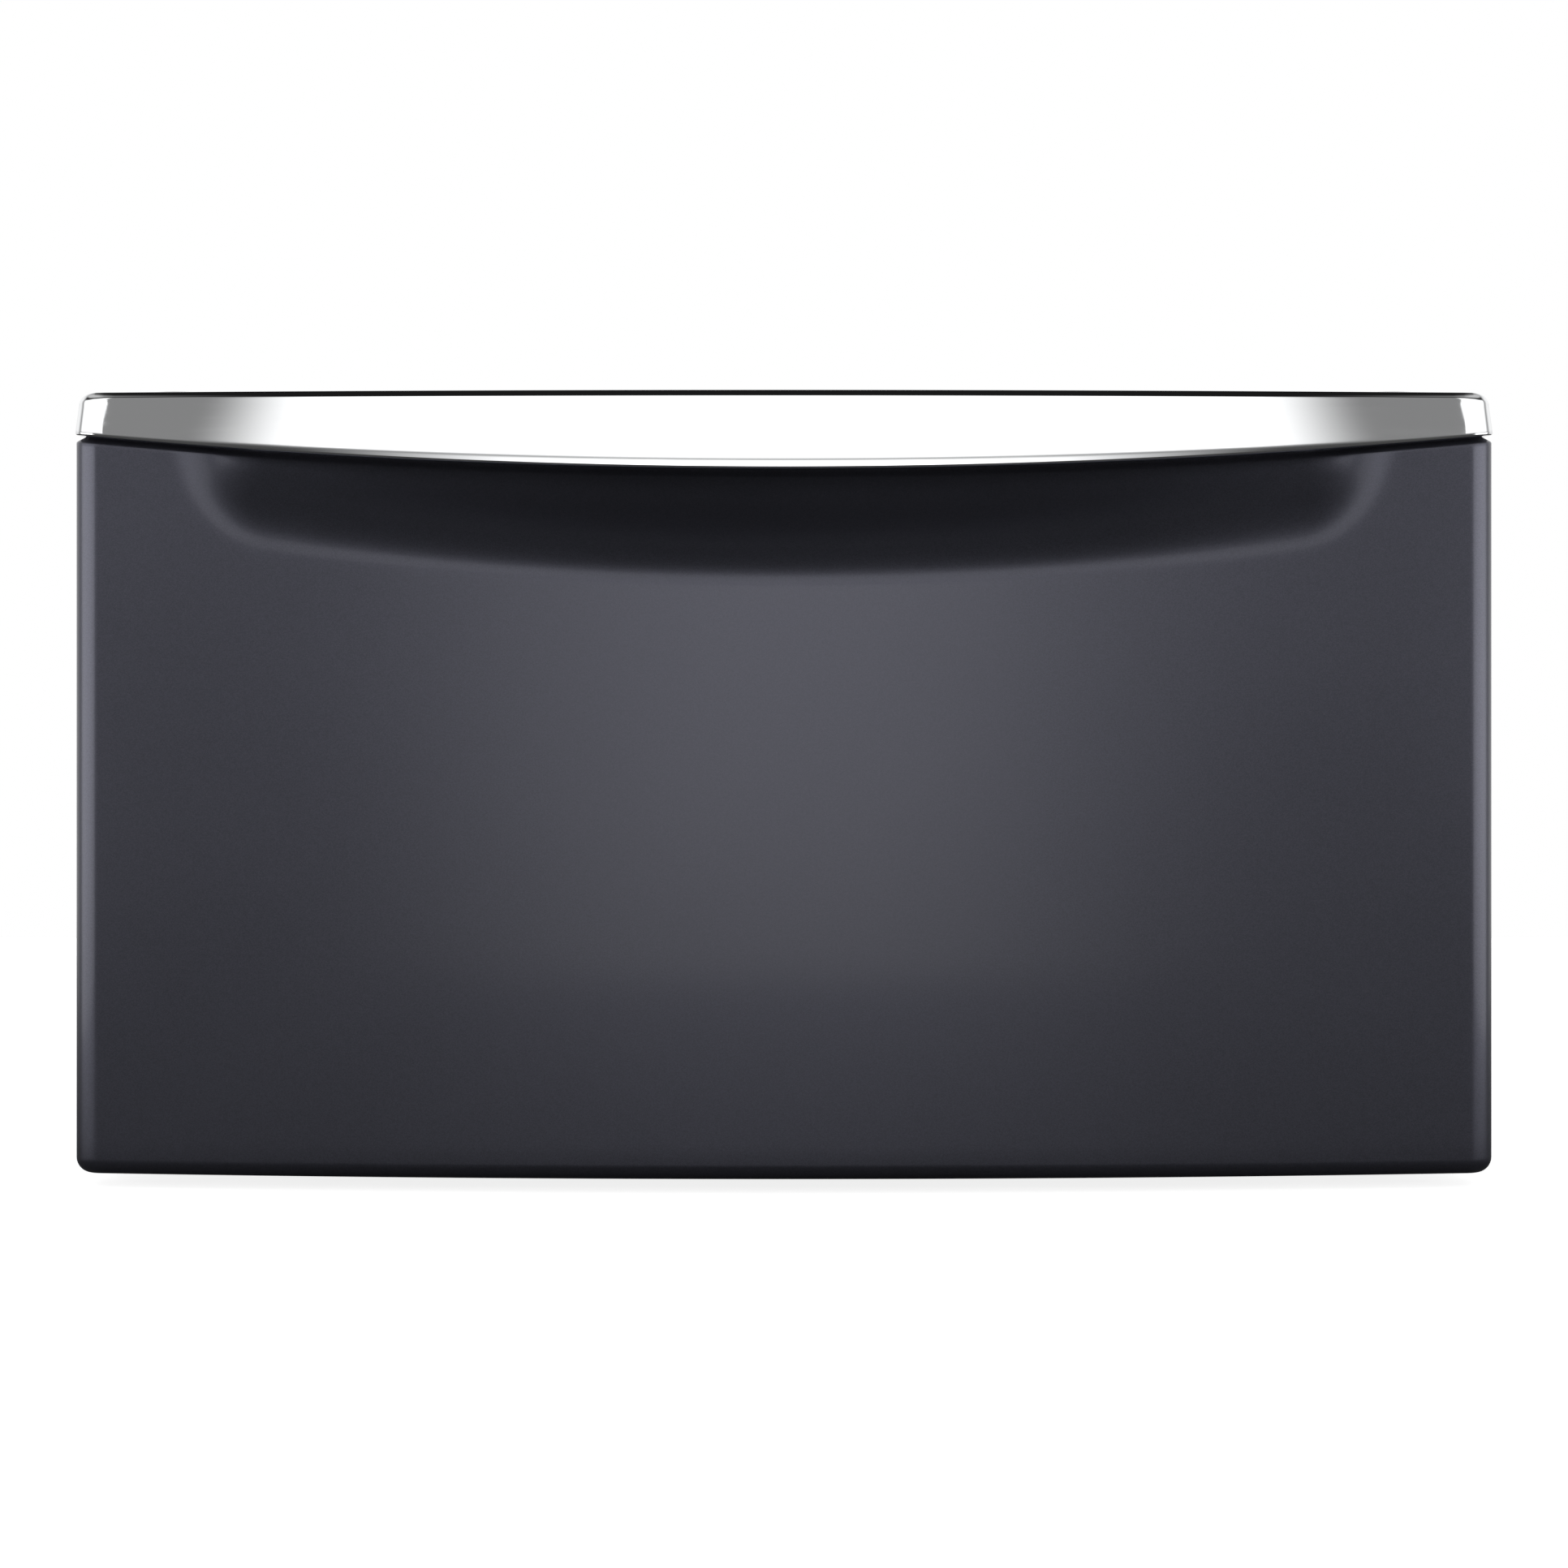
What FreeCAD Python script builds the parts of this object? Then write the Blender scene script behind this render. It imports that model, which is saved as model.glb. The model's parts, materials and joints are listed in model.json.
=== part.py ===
"""Laundry pedestal: a steel stand with a storage drawer that a front-loading washer or dryer is bolted onto.

Frame: millimetres, +Z up, +Y to the rear, X across. The origin is on the floor, at the middle of the
object's width and depth. Every piece is written to parts/NODE.step.
"""
import FreeCAD, Part
import math
import os
from FreeCAD import Vector

# ---------------------------------------------------------------- driving dimensions
HALF_WIDTH = 343.0  # a 27 in appliance
FRONT_TOP = 383.5  # top of the handle
FRONT_BOTTOM = 6.0  # lower edge of the drawer front
BOSS_TOP = 386.6  # the washer stands here
DECK_TOP = 381.2

SHEET = 0.8  # painted panels
FRAME_SHEET = 1.5  # load-bearing frame
BEND = 1.5  # inside bend radius of folded sheet

# drawer front
BOW = 30.0  # how far the middle of the front stands out from its ends
EDGE_R = 14.0  # rounded upright edges
SKIN_APEX_Y = -335.0
FRONT_BACK_Y = -272.0
BOTTOM_R = 7.5
SKIN_TOP = 377.2
SEAT = 4.8  # the skin steps back under the handle
SEAM_GAP = 1.8  # shadow gap between handle and skin
SEAM_ROLL = 1.8
TOP_R = 2.0

# finger scoop pressed into the skin
SCOOP_HALF = 302.0
SCOOP_FLOOR = FRONT_TOP - 97.0
SCOOP_RISE = 2.45e-4  # the floor line curves up towards the ends, mm per mm squared
SCOOP_CORNER = 54.0
SCOOP_RAMP = 56.0  # steep part of its floor
SCOOP_LEAN = 92.0  # how far in the floor goes on leaning back
SCOOP_STEEP_SHARE = 0.45
SCOOP_BACK_Y = -298.0  # its back wall, at the top

# handle
HANDLE_APEX_Y = -338.0
HANDLE_HALF = 343.3
HANDLE_MID = 37.7  # height at the middle
HANDLE_END = 20.5  # height at the ends
HANDLE_WALL = 2.4
HANDLE_DRAFT = 1.8
HANDLE_TOP_R = 3.6
HANDLE_END_TOP_R = 6.0  # its rim is rounder at the two ends
HANDLE_LOW_R = 1.1
HANDLE_INNER_R = 0.8
HANDLE_TOP_DEPTH = 12.5
HANDLE_BACK_Y = -275.0
LIP_END = 4.4
LIP_MID = 11.0
LIP_HALF = 270.0
LIP_RAMP = 40.0
CARRIER_SCREWS_X = (-200.0, -100.0, 0.0, 100.0, 200.0)
CARRIER_SCREW_Z = 366.0
TOWER_R = 5.0
SCREW_STAND_OFF = 0.6  # the wall leans a little under the screws' flat heads

# cabinet
CAB_FRONT_Y = -268.0
SKIRT_Y = 335.0  # rear face of the deck's skirt
PANEL_X = 341.8  # outer face of the side panels
PANEL_BOTTOM = 16.0
SKIRT = 14.0
LID_R = 4.0  # rounded rim of the deck
OPENING_HALF = 307.0
BASE_Z = 19.0
RAIL_TOP = 45.0
RAIL_IN_X = 283.0
RAIL_OUT_X = PANEL_X - SHEET - 0.1
BEAM_BOTTOM = 352.0
BEAM_HALF = 20.0
BEAM_FOOT = 8.0
BOSS_X = 299.5
BOSS_FRONT_Y = -235.0
BOSS_REAR_Y = 262.0
BOSS_R = 20.0
BOLT_HOLE_R = 6.0
ACCESS_R = 14.0
DECK_SCREWS_X = (-260.0, -90.0, 90.0, 260.0)
DECK_SCREW_Z = DECK_TOP - 9.0

# rubber bumpers between the cabinet and the drawer front
BUMPER_X = 324.0
BUMPER_Z = (60.0, 330.0)
BUMPER_R = 8.0
BUMPER_STEM_R = 3.2

# feet
FOOT_X = 300.0
FOOT_FRONT_Y = -230.0
FOOT_REAR_Y = 297.0
STUD_R = 5.0
THREAD_GAP = 0.1
STUD_TOP = 50.0
PAD_R = 19.0
PAD_H = 8.0
SOCKET_Z = 3.0
SOCKET_R = 8.0
HEX_FLATS = 17.0

# drawer box
BOX_X = 293.3
BOX_REAR_Y = 260.0
BOX_BOTTOM = 54.0
BOX_TOP = 290.0
HEM = 7.0
FRONT_PANEL_BACK_Y = FRONT_BACK_Y + SHEET

# ball-bearing slides
SLIDE_Z = 150.0
SLIDE_T = 12.7
BRACKET_X = BOX_X + SLIDE_T
SLIDE_FRONT_Y = -266.0
SLIDE_LENGTH = 556.0
OUTER_H = 22.8
OUTER_T = 1.5
MIDDLE_H = 17.5
MIDDLE_T = 1.3
MIDDLE_S = 3.0
INNER_H = 12.8
INNER_T = 1.3
INNER_S = 5.8
CAGE_FRONT_Y = -135.0
CAGE_LENGTH = 168.0
CAGE_T = 0.8
BALL_GAP = 0.1
BALLS = 7
SLIDE_SCREWS_CABINET_Y = (60.0, 160.0, 260.0)
SLIDE_SCREWS_DRAWER_Y = (-210.0, -120.0, 120.0, 210.0)
LEVER_Y = -40.0  # pin of the release lever
LEVER_LENGTH = 80.0

# divider
DIVIDER_Y = -8.0
DIVIDER_T = 3.0

SCREW_R = 2.0
SCREW_HOLE_R = 2.2


# ---------------------------------------------------------------- small tools
def smooth(t):
    """0 below 0, 1 above 1, and a smooth cubic step between."""
    t = min(1.0, max(0.0, t))
    return t * t * (3.0 - 2.0 * t)


def easing(t):
    """The same with a gentler start and end: a quintic step."""
    t = min(1.0, max(0.0, t))
    return t**3 * (10.0 - 15.0 * t + 6.0 * t * t)


def block(x0, x1, y0, y1, z0, z1):
    return Part.makeBox(x1 - x0, y1 - y0, z1 - z0, Vector(x0, y0, z0))


def rod(radius, start, end):
    """A round bar from start to end."""
    way = end - start
    return Part.makeCylinder(radius, way.Length, start, way)


def mirrored(shape):
    """The left-hand twin of a right-hand shape."""
    return shape.mirror(Vector(0, 0, 0), Vector(1, 0, 0))


def mirrored_y(shape):
    """The shape's mirror image, front to back."""
    return shape.mirror(Vector(0, 0, 0), Vector(0, 1, 0))


def fused(shapes):
    """One solid from shapes that overlap or share faces."""
    return shapes[0].multiFuse(shapes[1:]).removeSplitter()


def save(name, shape):
    shape.exportStep(os.path.join("parts", name + ".step"))


def save_pair(name, right):
    save(name + "_right", right)
    save(name + "_left", mirrored(right))


def straight(edge, direction):
    """Whether an edge is a line along that direction."""
    if not isinstance(edge.Curve, Part.Line):
        return False
    way = edge.Vertexes[1].Point - edge.Vertexes[0].Point
    return abs(way.normalize().dot(direction)) > 0.999


def rounded_block(x0, x1, y0, y1, z0, z1, upright_r, top_r):
    """A block with rounded upright edges, and with its top rim rounded where top_r isn't 0."""
    solid = block(x0, x1, y0, y1, z0, z1)
    solid = solid.makeFillet(upright_r, [e for e in solid.Edges if straight(e, Vector(0, 0, 1))])
    if top_r:
        rim = [e for e in solid.Edges if abs(e.BoundBox.ZMin - z1) < 1e-6]
        solid = solid.makeFillet(top_r, rim)
    return solid


def pan(x0, x1, y0, y1, z0, z1, t, r):
    """A sheet tray turned upside down: a flat top with a rounded rim and a skirt all round."""
    outer = rounded_block(x0, x1, y0, y1, z0, z1, r, r)
    inner = rounded_block(x0 + t, x1 - t, y0 + t, y1 - t, z0 - t, z1 - t, r - t, r - t)
    return outer.cut(inner)


def embossed(plate, x0, x1, y0, y1, top, height, t, r):
    """The plate with a rounded rectangle pressed up out of it by height."""
    outer = rounded_block(x0, x1, y0, y1, top - t, top + height, r, t + BEND)
    inner = rounded_block(x0 + t, x1 - t, y0 + t, y1 - t, top - 3 * t, top + height - t, r - t, BEND)
    return plate.fuse(outer).cut(inner).removeSplitter()


def rounded_path(points, radii, place):
    """Edges of a path through 2D points, with an arc of the given radius at each inner point."""
    edges = []
    start = points[0]
    for before, here, after, r in zip(points, points[1:], points[2:], radii):
        back = (before - here).normalize()
        on = (after - here).normalize()
        half = back.getAngle(on) / 2.0
        a = here + back * (r / math.tan(half))
        b = here + on * (r / math.tan(half))
        middle = (back + on).normalize()
        m = here + middle * (r / math.sin(half) - r)
        edges.append(Part.LineSegment(place(start), place(a)).toShape())
        edges.append(Part.Arc(place(a), place(m), place(b)).toShape())
        start = b
    edges.append(Part.LineSegment(place(start), place(points[-1])).toShape())
    return edges


def sheet_section(corners, t, place):
    """The cut face of a folded sheet. Its path runs through the corners, and the sheet lies left of it."""
    points = [Vector(a, b, 0) for a, b in corners]
    ways = [(q - p).normalize() for p, q in zip(points, points[1:])]
    sides = [Vector(-w.y, w.x, 0) for w in ways]
    other = [points[0] + sides[0] * t]
    near_r, far_r = [], []
    for here, before, after, way, side in zip(points[1:], sides, sides[1:], ways[1:], sides):
        other.append(here + (before + after) * (t / (1.0 + before.dot(after))))
        turns_left = side.dot(way) > 0
        near_r.append(BEND + t if turns_left else BEND)
        far_r.append(BEND if turns_left else BEND + t)
    other.append(points[-1] + sides[-1] * t)
    edges = rounded_path(points, near_r, place)
    edges.append(Part.LineSegment(place(points[-1]), place(other[-1])).toShape())
    edges += rounded_path(other[::-1], far_r[::-1], place)
    edges.append(Part.LineSegment(place(other[0]), place(points[0])).toShape())
    return Part.Face(Part.Wire(edges))


def folded_along_z(corners, t, z0, z1):
    """A folded sheet whose section is drawn in X and Y."""
    face = sheet_section(corners, t, lambda p: Vector(p.x, p.y, z0))
    return face.extrude(Vector(0, 0, z1 - z0))


def folded_along_y(corners, t, y0, y1):
    """A folded sheet whose section is drawn in X and Z."""
    face = sheet_section(corners, t, lambda p: Vector(p.x, y0, p.y))
    return face.extrude(Vector(0, y1 - y0, 0))


def folded_along_x(corners, t, x0, x1):
    """A folded sheet whose section is drawn in Y and Z."""
    face = sheet_section(corners, t, lambda p: Vector(x0, p.x, p.y))
    return face.extrude(Vector(x1 - x0, 0, 0))


def hexagon(flats, z0, z1, x, y):
    """An upright six-sided bar."""
    r = flats / math.sqrt(3.0)
    points = [
        Vector(x + r * math.cos(math.radians(60 * k)), y + r * math.sin(math.radians(60 * k)), z0)
        for k in range(7)
    ]
    return Part.Face(Part.makePolygon(points)).extrude(Vector(0, 0, z1 - z0))


def hex_screw(head, way, length):
    """A hex-washer-head sheet screw. head is where the head meets the sheet, way points into the sheet."""
    washer = Part.makeCylinder(4.6, 0.7, Vector(0, 0, -0.7))
    hexed = hexagon(7.0, -3.0, -0.7, 0, 0)
    shank = Part.makeCylinder(SCREW_R, length - 2.0)
    tip = Part.makeCone(SCREW_R, 0.6, 2.0, Vector(0, 0, length - 2.0))
    screw = fused([washer, hexed, shank, tip])
    screw.Placement = FreeCAD.Placement(head, FreeCAD.Rotation(Vector(0, 0, 1), way))
    return screw


# ---------------------------------------------------------------- drawer front surfaces
def outline_stations(half, apex_y, back_y, side_steps, corner_steps, bow_steps):
    """Points round the front's plan outline, from the left rear corner to the right one, with outward
    normals: straight side, rounded corner, shallow bow, rounded corner, straight side."""
    radius = (half * half + BOW * BOW) / (2.0 * BOW)
    centre_y = apex_y + radius
    corner_x = half - EDGE_R
    reach = radius - EDGE_R
    corner_y = centre_y - math.sqrt(reach * reach - corner_x * corner_x)
    end_angle = math.asin(corner_x / reach)
    right = []
    for k in range(1, bow_steps + 1):
        a = end_angle * k / bow_steps
        right.append((radius * math.sin(a), centre_y - radius * math.cos(a), math.sin(a), -math.cos(a)))
    turn = math.pi / 2.0 - end_angle
    for k in range(1, corner_steps + 1):
        a = end_angle + turn * k / corner_steps
        x = corner_x + EDGE_R * math.sin(a)
        right.append((x, corner_y - EDGE_R * math.cos(a), math.sin(a), -math.cos(a)))
    for k in range(1, side_steps + 1):
        right.append((half, corner_y + (back_y - corner_y) * k / side_steps, 1.0, 0.0))
    left = [(-x, y, -nx, ny) for x, y, nx, ny in reversed(right)]
    return left + [(0.0, apex_y, 0.0, -1.0)] + right


def handle_low(x):
    """Height of the handle's lower edge, a shallow smile."""
    return FRONT_TOP - HANDLE_MID + (HANDLE_MID - HANDLE_END) * (x / HALF_WIDTH) ** 2


def scoop_share(x, z):
    """How deep the finger scoop is at a point of the front, from 0 on the face to 1 at its back wall. It
    follows the distance inside an outline with two rounded lower corners and a floor that curves up: part of
    the depth is a steep ramp, and the rest a gentler one."""
    side = SCOOP_CORNER - (SCOOP_HALF - abs(x))
    floor = SCOOP_CORNER - (z - SCOOP_FLOOR - SCOOP_RISE * x * x)
    outside = math.hypot(max(side, 0.0), max(floor, 0.0)) + min(max(side, floor), 0.0)
    inside = SCOOP_CORNER - outside
    steep, lean = easing(inside / SCOOP_RAMP), easing(inside / SCOOP_LEAN)
    return SCOOP_STEEP_SHARE * steep + (1.0 - SCOOP_STEEP_SHARE) * lean


def scoop_wall_y(x, z):
    """Y of the skin's outer face inside the scoop."""
    face_y = SKIN_APEX_Y + BOW * (x / HALF_WIDTH) ** 2
    return face_y + (SCOOP_BACK_Y - face_y) * scoop_share(x, z)


def skin_rows(x):
    """(inset, height) of the skin up its section at x: bottom roll, face, step under the handle, top roll."""
    rows = []
    for k in range(7):
        a = math.radians(90.0 - 15.0 * k)
        rows.append((BOTTOM_R * (1.0 - math.cos(a)), FRONT_BOTTOM + BOTTOM_R * (1.0 - math.sin(a))))
    seam = handle_low(x) - SEAM_GAP
    low, high = FRONT_BOTTOM + BOTTOM_R, seam - SEAM_ROLL
    rows += [(0.0, low + (high - low) * k / 44.0) for k in range(1, 45)]
    for k in range(1, 8):
        rows.append((SEAT * smooth(k / 7.0), high + 2.0 * SEAM_ROLL * k / 7.0))
    low, high = seam + SEAM_ROLL, SKIN_TOP - TOP_R
    rows += [(SEAT, low + (high - low) * k / 4.0) for k in range(1, 5)]
    for k in range(1, 6):
        a = math.radians(18.0 * k)
        rows.append((SEAT + TOP_R * (1.0 - math.cos(a)), high + TOP_R * math.sin(a)))
    return rows


def skin_point(station, row):
    x, y, nx, ny = station
    inset, z = row
    share = scoop_share(x, z)
    kept = inset if z < SCOOP_FLOOR else inset - min(inset, SEAT) * share
    return Vector(x - kept * nx, y - kept * ny + (SCOOP_BACK_Y - y) * share, z)


def lip_depth(x):
    return LIP_END + (LIP_MID - LIP_END) * smooth((LIP_HALF - abs(x)) / LIP_RAMP)


def handle_rows(x, wall):
    """(inset, height) of the handle's section at x, at a depth of wall inside its surface: top, rounded rim,
    leaning face, rounded rim, lip."""
    top, low = FRONT_TOP - wall, handle_low(x) + wall
    at_end = smooth((abs(x) - HANDLE_HALF + EDGE_R) / EDGE_R)
    top_r = HANDLE_TOP_R + (HANDLE_END_TOP_R - HANDLE_TOP_R) * at_end - wall
    low_r = max(HANDLE_LOW_R - wall, HANDLE_INNER_R)
    rim = HANDLE_DRAFT + wall + top_r
    rows = [(HANDLE_TOP_DEPTH + (rim - HANDLE_TOP_DEPTH) * k / 3.0, top) for k in range(3)]
    for k in range(6):
        a = math.radians(90.0 - 18.0 * k)
        rows.append((rim - top_r * math.cos(a), top - top_r * (1.0 - math.sin(a))))
    high, bottom = top - top_r, low + low_r
    rows += [(wall + HANDLE_DRAFT * (1.0 - k / 5.0), high + (bottom - high) * k / 5.0) for k in range(1, 6)]
    for k in range(1, 5):
        a = math.radians(22.5 * k)
        rows.append((wall + low_r * (1.0 - math.cos(a)), bottom - low_r * math.sin(a)))
    inner, lip = wall + low_r, lip_depth(x)
    rows += [(inner + (lip - inner) * k / 2.0, low) for k in (1, 2)]
    return rows


def handle_point(station, row):
    x, y, nx, ny = station
    return Vector(x - row[0] * nx, y - row[0] * ny, row[1])


def thickened(grid, depth):
    """The grid moved along its inward normals by depth. Its normals come from the neighbouring points."""
    moved = []
    last_i, last_j = len(grid) - 1, len(grid[0]) - 1
    for i, column in enumerate(grid):
        line = []
        for j, p in enumerate(column):
            along_u = grid[min(i + 1, last_i)][j] - grid[max(i - 1, 0)][j]
            along_v = column[min(j + 1, last_j)] - column[max(j - 1, 0)]
            line.append(p + along_u.cross(along_v).normalize() * depth)
        moved.append(line)
    return moved


def smooth_surface(grid):
    """A cubic B-spline face with the grid's points as its poles."""
    nu, nv = len(grid), len(grid[0])
    surface = Part.BSplineSurface()
    u_knots, v_knots = list(range(nu - 2)), list(range(nv - 2))
    u_mults = [4] + [1] * (nu - 4) + [4]
    v_mults = [4] + [1] * (nv - 4) + [4]
    surface.buildFromPolesMultsKnots(grid, u_mults, v_mults, u_knots, v_knots, False, False, 3, 3)
    return surface


def side_edge(surface, u_side, index):
    """The edge of a surface at its first (0) or last (1) parameter, across U or across V."""
    u0, u1, v0, v1 = surface.bounds()
    curve = surface.uIso((u0, u1)[index]) if u_side else surface.vIso((v0, v1)[index])
    return curve.toShape()


def sewn(faces):
    """A closed solid from faces that meet along their edges."""
    shell = Part.makeShell(faces)
    shell.sewShape()
    solid = Part.makeSolid(shell)
    if solid.Volume < 0:
        solid.reverse()
    return solid


def line(a, b):
    return Part.LineSegment(a, b).toShape()


def drawer_front_skin():
    """Pressed and painted steel: bowed face, finger scoop, rolled rims, closed top and bottom, open back."""
    stations = outline_stations(HALF_WIDTH, SKIN_APEX_Y, FRONT_BACK_Y, 3, 6, 48)
    grid = [[skin_point(s, row) for row in skin_rows(s[0])] for s in stations]
    grids = (grid, thickened(grid, -SHEET))
    for column in (grids[1][0], grids[1][-1]):
        for p in column:
            p.y = FRONT_BACK_Y
    for column in grids[1]:
        column[0].z = FRONT_BOTTOM + SHEET
        column[-1].z = SKIN_TOP - SHEET
    faces, rims = [], []
    for one in grids:
        surface = smooth_surface(one)
        left_low, left_high = one[0][0], one[0][-1]
        right_low, right_high = one[-1][0], one[-1][-1]
        bottom, top = line(right_low, left_low), line(right_high, left_high)
        faces.append(surface.toShape())
        faces.append(Part.Face(Part.Wire([side_edge(surface, False, 0), bottom])))
        faces.append(Part.Face(Part.Wire([side_edge(surface, False, 1), top])))
        sides = [side_edge(surface, True, 0), top, side_edge(surface, True, 1), bottom]
        rims.append(Part.Wire(Part.__sortEdges__(sides)))
    faces.append(Part.Face(rims[0]).cut(Part.Face(rims[1])).Faces[0])
    skin = sewn(faces)
    for x in CARRIER_SCREWS_X:
        wall = Vector(x, scoop_wall_y(x, CARRIER_SCREW_Z), CARRIER_SCREW_Z)
        skin = skin.cut(rod(SCREW_HOLE_R, wall - Vector(0, 3, 0), wall + Vector(0, 5, 0)))
    return skin


def handle():
    """Chrome-plated moulding: a channel open to the rear, bowed with the front and round its corners."""
    stations = outline_stations(HANDLE_HALF, HANDLE_APEX_Y, HANDLE_BACK_Y, 3, 6, 24)
    grid = [[handle_point(s, row) for row in handle_rows(s[0], 0.0)] for s in stations]
    inner = [[handle_point(s, row) for row in handle_rows(s[0], HANDLE_WALL)] for s in stations]
    outside, inside = smooth_surface(grid), smooth_surface(inner)
    faces = [outside.toShape(), inside.toShape()]
    for index in (0, 1):
        faces.append(Part.makeRuledSurface(side_edge(outside, False, index), side_edge(inside, False, index)))
        end = [side_edge(s, True, index) for s in (outside, inside)]
        end += [line(grid[-index][k], inner[-index][k]) for k in (0, -1)]
        faces.append(Part.Face(Part.Wire(Part.__sortEdges__(end))))
    return sewn(faces)


def plan_band(near, far, half_x, z0, z1):
    """An upright band that follows the handle's bow, between two depths behind its face."""
    radius = (HANDLE_HALF ** 2 + BOW ** 2) / (2.0 * BOW)
    centre = Vector(0, HANDLE_APEX_Y + radius, z0)
    ring = Part.makeCylinder(radius - near, z1 - z0, centre).cut(
        Part.makeCylinder(radius - far, z1 - z0, centre)
    )
    return ring.common(block(-half_x, half_x, HANDLE_APEX_Y, FRONT_BACK_Y, z0, z1))


def above_smile(clearance, z1):
    """Everything above the handle's lower edge plus a clearance, as a block with a curved underside."""
    ends = handle_low(HALF_WIDTH) + clearance
    middle = handle_low(0.0) + clearance
    y = HANDLE_APEX_Y - 1.0
    left, right = Vector(-HALF_WIDTH, y, ends), Vector(HALF_WIDTH, y, ends)
    top_right, top_left = Vector(HALF_WIDTH, y, z1), Vector(-HALF_WIDTH, y, z1)
    arc = Part.Arc(left, Vector(0, y, middle), right).toShape()
    edges = [arc, line(right, top_right), line(top_right, top_left), line(top_left, left)]
    return Part.Face(Part.Wire(edges)).extrude(Vector(0, FRONT_BACK_Y - y, 0))


def handle_carrier():
    """Black moulding inside the handle: a lid over the scoop, a grip bar, and five screw towers."""
    lid_low = SKIN_TOP + 0.3
    lid_high = FRONT_TOP - HANDLE_WALL - 0.3
    lid = plan_band(HANDLE_DRAFT + HANDLE_TOP_R + 1.6, BOW + 60.0, HANDLE_HALF - 16.0, lid_low, lid_high)
    lid = lid.common(block(-HALF_WIDTH, HALF_WIDTH, HANDLE_APEX_Y, HANDLE_BACK_Y, lid_low, lid_high))
    bar = plan_band(5.2, 12.0, LIP_HALF - 25.0, FRONT_TOP - HANDLE_MID, lid_high)
    bar = bar.common(above_smile(HANDLE_WALL + 0.6, lid_high))
    towers = []
    for x in CARRIER_SCREWS_X:
        y0 = HANDLE_APEX_Y + BOW * (x / HANDLE_HALF) ** 2 + 9.0
        y1 = scoop_wall_y(abs(x), CARRIER_SCREW_Z - TOWER_R) - 0.1
        towers.append(rod(TOWER_R, Vector(x, y0, CARRIER_SCREW_Z), Vector(x, y1, CARRIER_SCREW_Z)))
        towers.append(block(x - 1.5, x + 1.5, y0, y1, CARRIER_SCREW_Z, lid_high))
    carrier = fused([lid, bar] + towers)
    for x in CARRIER_SCREWS_X:
        end = Vector(x, scoop_wall_y(x, CARRIER_SCREW_Z), CARRIER_SCREW_Z)
        carrier = carrier.cut(rod(SCREW_R + 0.02, end - Vector(0, 14.0, 0), end))
    return carrier


def handle_screws():
    """Screws from inside the drawer front, through the scoop's back wall and into the towers."""
    z = CARRIER_SCREW_Z
    heads = [Vector(x, scoop_wall_y(x, z + TOWER_R) + SHEET + SCREW_STAND_OFF, z) for x in CARRIER_SCREWS_X]
    return Part.makeCompound([hex_screw(head, Vector(0, -1, 0), 12.0) for head in heads])


def stepped_plate(inset, y0, y1):
    """A plate with the outline of the skin's inside, which is narrower behind the handle."""
    wide = HALF_WIDTH - SHEET - 0.6 - inset
    narrow = wide - SEAT
    low, step, high = FRONT_BOTTOM + SHEET + 0.4 + inset, 352.0 - inset, SKIN_TOP - SHEET - 0.6 - inset
    right = [(wide, low), (wide, step), (narrow, step + SEAT), (narrow, high)]
    outline = right + [(-x, z) for x, z in reversed(right)] + right[:1]
    face = Part.Face(Part.makePolygon([Vector(x, y0, z) for x, z in outline]))
    plate = face.extrude(Vector(0, y1 - y0, 0))
    upright = [e for e in plate.Edges if straight(e, Vector(0, 1, 0))]
    low_corners = [e for e in upright if abs(e.BoundBox.ZMax - low) < 1e-6]
    return plate.makeFillet(BOTTOM_R - inset, low_corners)


def front_inner_panel():
    """Flat inner wall of the drawer front, with a rim that nests inside the skin."""
    rim = stepped_plate(0.0, FRONT_BACK_Y - 14.0, FRONT_PANEL_BACK_Y)
    panel = rim.cut(stepped_plate(SHEET, FRONT_BACK_Y - 15.0, FRONT_BACK_Y))
    for x, z in box_screw_places():
        panel = panel.cut(rod(SCREW_HOLE_R, Vector(x, -275, z), Vector(x, -268, z)))
    return panel


def front_stiffeners():
    """Two upright hat sections inside the drawer front, between the skin and the inner panel."""
    hats = []
    for x in (-150.0, 150.0):
        foot_y, top_y = FRONT_BACK_Y - 0.1, -326.2
        right = [(14, top_y), (20, foot_y), (34, foot_y)]
        corners = [(x - a, y) for a, y in reversed(right)] + [(x + a, y) for a, y in right]
        hats.append(folded_along_z(corners[::-1], SHEET, 24.0, 262.0))
    return Part.makeCompound(hats)


# ---------------------------------------------------------------- drawer box
def box_screw_places():
    """Where the box's front flanges are screwed to the inner panel."""
    return [(side * (BOX_X - 9.0), z) for side in (-1, 1) for z in (80.0, 170.0, 260.0)]


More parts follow.
